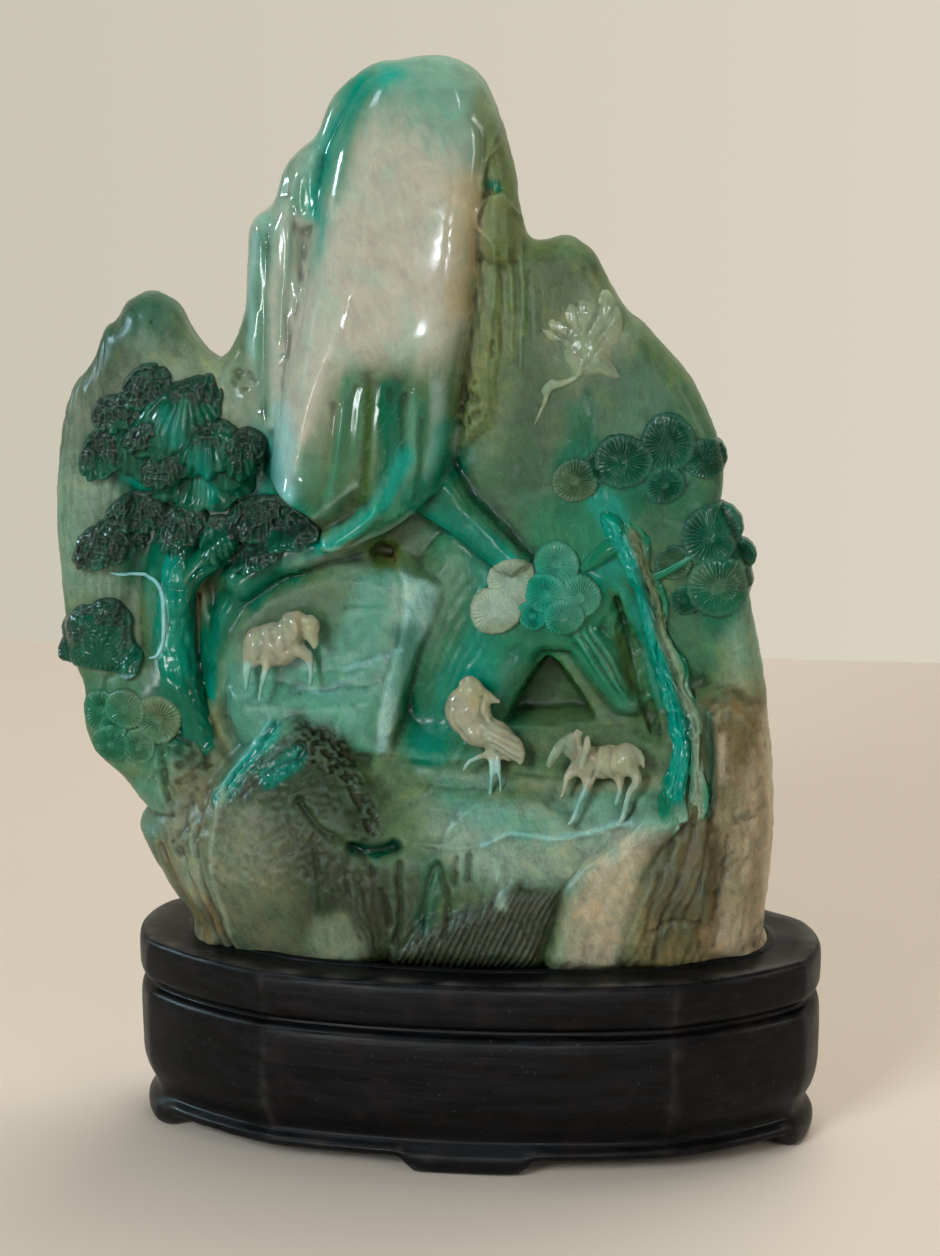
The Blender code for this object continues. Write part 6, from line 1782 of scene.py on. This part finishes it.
def wood_finish():
    """Dark hardwood: fine level grain, a satin shine, and a paler brown on its edges, for their wear and as a
    painted highlight.
    """
    paint = Paint(bpy.data.materials.new("dark_hardwood_finish"))
    at = paint.place()
    streaks = paint.noise(paint.place(STREAK_STRETCH), *WOOD_STREAKS)
    pores = paint.noise(paint.place(PORE_STRETCH), *WOOD_PORES)
    dust = paint.noise(at, *WOOD_DUST)
    lint = paint.noise(at, *WOOD_LINT)
    wear_and_painted_light = paint.stored("wear_and_painted_light")
    wood = palette()["wood"]
    colour = paint.mix(streaks.between(0.4, 0.66), wood * GRAIN_DARK, wood * GRAIN_PALE)
    colour = paint.mix(dust.between(0.5, 0.75) * 0.6, colour, DUST)
    colour = paint.mix(pores.between(0.6, 0.72) * 0.6, colour, PORE)
    colour = paint.mix(lint.between(0.7, 0.74) * 0.3, colour, LINT)
    # Edges painted a paler brown, for their wear and as a painted highlight.
    colour = paint.mix(wear_and_painted_light * dust.between(0.3, 0.7) * 0.8, colour, EDGE_WEAR_AND_HIGHLIGHT)
    rough = 0.38 + 0.25 * (dust - 0.5) + 0.2 * (streaks - 0.5) - 0.08 * wear_and_painted_light
    relief = paint.bump(0.8 * streaks + pores)
    return paint.finish(Base_Color=colour, Roughness=rough, Normal=relief, IOR=WOOD_IOR,
                        Specular_IOR_Level=WOOD_SHINE)


def floor_finish():
    paint = Paint(bpy.data.materials.new("pale_floor"))
    return paint.finish(Base_Color=(*palette()["cloth"], 1), Roughness=0.85)


def pale_room():
    """A pale background, with the room darker in front of the object than behind it, as its gloss shows."""
    paint = Paint(bpy.data.worlds.new("pale_room"))
    direction = paint.node("ShaderNodeTexCoord", {}, {}, "Generated")
    behind = paint.node("ShaderNodeSeparateXYZ", {}, {"Vector": direction}, "Y")
    aside = paint.node("ShaderNodeSeparateXYZ", {}, {"Vector": direction}, "X")
    seen = paint.node("ShaderNodeLightPath", {}, {}, "Is Camera Ray")
    wall = palette()["wall"]
    room = paint.mix(behind.between(-0.1, 0.7), wall * ROOM_DIM, wall)
    far = paint.mix(aside.between(-0.3, 0.2), wall * WALL_LEFT, wall * WALL_RIGHT)
    light = paint.node("ShaderNodeBackground", {}, {"Color": paint.mix(seen, room, far)})
    paint.node("ShaderNodeOutputWorld", {}, {"Surface": light})
    return paint.owner


# ---- operators ----

# The pines' pieces: name, what makes a part, the parts' rows, colour, painted shade in hollows, painted
# highlight on edges.
PINES = (
    ("left_pine_needles", needle_bank, NEEDLE_BANKS, "emerald", 0.6, 0.05),
    ("left_pine_discs", needle_disc, DISCS["left_pine_discs"], "moss", 0.6, 0.06),
    ("right_pine_discs", needle_disc, DISCS["right_pine_discs"], "deep", 0.6, 0.06),
    ("middle_pine_discs", needle_disc, DISCS["middle_pine_discs"], "jade", 0.6, 0.06),
    ("pale_discs", needle_disc, DISCS["pale_discs"], "pale ash", 0.3, 0.06),
    ("left_pine_wood", limb, TRUNKS["left_pine_wood"], "emerald", 0.4, 0.06),
    ("right_pine_wood", limb, TRUNKS["right_pine_wood"], "jade", 0.4, 0.06),
)
ANIMAL_BASE = {"sheep": "bone", "horse": "bone", "rooster": "bone", "crane": "pale ash"}
FLOOR_WIDTH, FLOOR_DEPTH = (-900, 900), (-1100, 385)
ROOM_DIM = 0.16  # how bright the room in front of the object is, against its pale wall
WALL_LEFT, WALL_RIGHT = 0.92, 1.08  # how bright the wall is at its left and right
AIM = (5.5, 2.0, 112.0)
VIEW_TURN, VIEW_HEIGHT, VIEW_DISTANCE = 5.0, 15.0, 580.0
LENS, SENSOR, NEAREST_SEEN = 77.39, 36.0, 0.01
# Lights: kind, turn round the object from the front, height in degrees, distance, width and height, power in
# watts, colour. A soft light lights the stone and isn't seen in its gloss. A glint is seen only there.
LIGHTS = {
    "ceiling": ("soft", 150, 66, 1300, (900, 900), 15, (1.0, 0.96, 0.91)),
    "window": ("soft", -30, 26, 1100, (340, 340), 9.5, (0.9, 0.96, 1.0)),
    "room light": ("soft", 48, 22, 1200, (500, 500), 3.5, (1.0, 0.94, 0.86)),
    "far window": ("glint", 7.5, 4.2, 1000, (60, 80), 2.2, (0.84, 0.93, 1.0)),
    "left pane": ("glint", -83, 20, 900, (90, 110), 6.5, (0.6, 0.88, 1.0)),
    "tall pane": ("glint", -21, 2, 950, (90, 190), 3.0, (0.92, 0.97, 1.0)),
    "high pane": ("glint", 24, 46, 1000, (90, 80), 0.9, (0.9, 0.97, 1.0)),
    "sky pane": ("glint", -42, 48, 1000, (240, 160), 2.4, (0.7, 0.9, 1.0)),
    "right pane": ("glint", 72, 14, 1000, (60, 260), 2.0, (1.0, 0.97, 0.88)),
}


def wear(piece, node, material):
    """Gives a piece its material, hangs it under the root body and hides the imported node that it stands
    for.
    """
    piece.data.materials.clear()
    piece.data.materials.append(material)
    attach(piece, "root")
    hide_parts(node)


class MakeMountain(bpy.types.Operator):
    """Carves the mountain: peaks, ledge, caves, terrace and boulders"""

    bl_idname = "jade.make_mountain"
    bl_label = "Make Mountain"

    def execute(self, context):
        piece = make_stone("carved_mountain")
        # Its hollows get painted shade and its edges a painted highlight.
        colour_piece(piece, "moss", AREAS, STREAKS, wear_and_painted_light=0.55, edge=0.07, dull=1.0)
        wear(piece, "jade_mountain", jade_finish("polished_jade", gloss=0.13, depth=0.3))
        return {"FINISHED"}


class MakePines(bpy.types.Operator):
    """Models the pines: canopies, needle discs, trunks and branches"""

    bl_idname = "jade.make_pines"
    bl_label = "Make Pines"

    def execute(self, context):
        material = jade_finish("carved_pine_jade", gloss=0.12, depth=0.2)
        for name, make_part, rows, base, wear_and_painted_light, edge in PINES:
            piece = joined(name, [make_part(*row) for row in rows])
            bpy.ops.object.shade_smooth()
            colour_piece(piece, base, (), PIECE_STREAKS[name], wear_and_painted_light, edge, dull=0.5)
            wear(piece, "jade_mountain", material)
        return {"FINISHED"}


class MakeAnimals(bpy.types.Operator):
    """Models the sheep, the horse, the rooster and the flying crane"""

    bl_idname = "jade.make_animals"
    bl_label = "Make Animals"

    def execute(self, context):
        material = jade_finish("pale_jade", gloss=0.08, depth=0.45)
        for name, rows in ANIMALS.items():
            piece = make_animal(name, *rows)
            # Their hollows get painted shade and their edges a painted highlight.
            colour_piece(piece, ANIMAL_BASE[name], (), ANIMAL_STAINS, wear_and_painted_light=0.55, edge=0.14, dull=0.35)
            wear(piece, "jade_mountain", material)
        return {"FINISHED"}


class MakeStand(bpy.types.Operator):
    """Models the hardwood stand with its feet, grooved side and socket"""

    bl_idname = "jade.make_stand"
    bl_label = "Make Stand"

    def execute(self, context):
        wear(make_stand(), "wood_stand", wood_finish())
        return {"FINISHED"}


def seen_from(turn, height, distance):
    """A place round the object, and the rotation that points a lamp or the camera from there at the aim."""
    aim = Vector(AIM) * MM
    around = Matrix.Rotation(math.radians(turn), 3, "Z") @ Matrix.Rotation(math.radians(-height), 3, "X")
    place = aim + around @ Vector((0, -distance * MM, 0))
    return place, (aim - place).to_track_quat("-Z", "Y").to_euler()


class MakeStage(bpy.types.Operator):
    """Lays the pale floor and sets the soft lights and the camera"""

    bl_idname = "jade.make_stage"
    bl_label = "Make Stage"

    def execute(self, context):
        floor = new_piece("floor", bpy.ops.mesh.primitive_plane_add, size=2)
        put_points(floor, np.array([[x, y, 0] for y in FLOOR_DEPTH for x in FLOOR_WIDTH], float))
        floor.data.materials.append(floor_finish())
        scene = context.scene
        scene.view_settings.view_transform = "Standard"
        scene.world = pale_room()
        for name, (kind, turn, height, distance, size, power, colour) in LIGHTS.items():
            place, rotation = seen_from(turn, height, distance)
            bpy.ops.object.light_add(type="AREA", location=place, rotation=rotation)
            lamp = bpy.context.object
            lamp.name = name
            lamp.data.shape = "RECTANGLE"
            lamp.data.size, lamp.data.size_y = size[0] * MM, size[1] * MM
            lamp.data.energy, lamp.data.color = power, colour
            lamp.visible_glossy, lamp.visible_diffuse = kind == "glint", kind == "soft"
        place, rotation = seen_from(VIEW_TURN, VIEW_HEIGHT, VIEW_DISTANCE)
        bpy.ops.object.camera_add(location=place, rotation=rotation)
        camera = bpy.context.object
        camera.data.lens, camera.data.sensor_width = LENS, SENSOR
        camera.data.clip_start = NEAREST_SEEN
        scene.camera = camera
        return {"FINISHED"}


OPERATORS = (MakeMountain, MakePines, MakeAnimals, MakeStand, MakeStage)


class JadePanel(bpy.types.Panel):
    """Lists the pieces in the 3D view's sidebar"""

    bl_idname = "VIEW3D_PT_jade_mountain"
    bl_label = "Jade Mountain"
    bl_space_type = "VIEW_3D"
    bl_region_type = "UI"
    bl_category = "Jade Mountain"

    def draw(self, context):
        for operator in OPERATORS:
            self.layout.operator(operator.bl_idname)
        for group in (context.scene.carving_sizes, context.scene.carving_colours):
            for name in type(group).__annotations__:
                self.layout.prop(group, name)


CLASSES = (CarvingSizes, CarvingColours, *OPERATORS, JadePanel)


def register():
    for kind in CLASSES:
        bpy.utils.register_class(kind)
    bpy.types.Scene.carving_sizes = bpy.props.PointerProperty(type=CarvingSizes)
    bpy.types.Scene.carving_colours = bpy.props.PointerProperty(type=CarvingColours)


def unregister():
    del bpy.types.Scene.carving_colours, bpy.types.Scene.carving_sizes
    for kind in reversed(CLASSES):
        bpy.utils.unregister_class(kind)


def main():
    register()
    bpy.ops.jade.make_mountain()
    bpy.ops.jade.make_pines()
    bpy.ops.jade.make_animals()
    bpy.ops.jade.make_stand()
    bpy.ops.jade.make_stage()


if __name__ == "__main__":
    main()
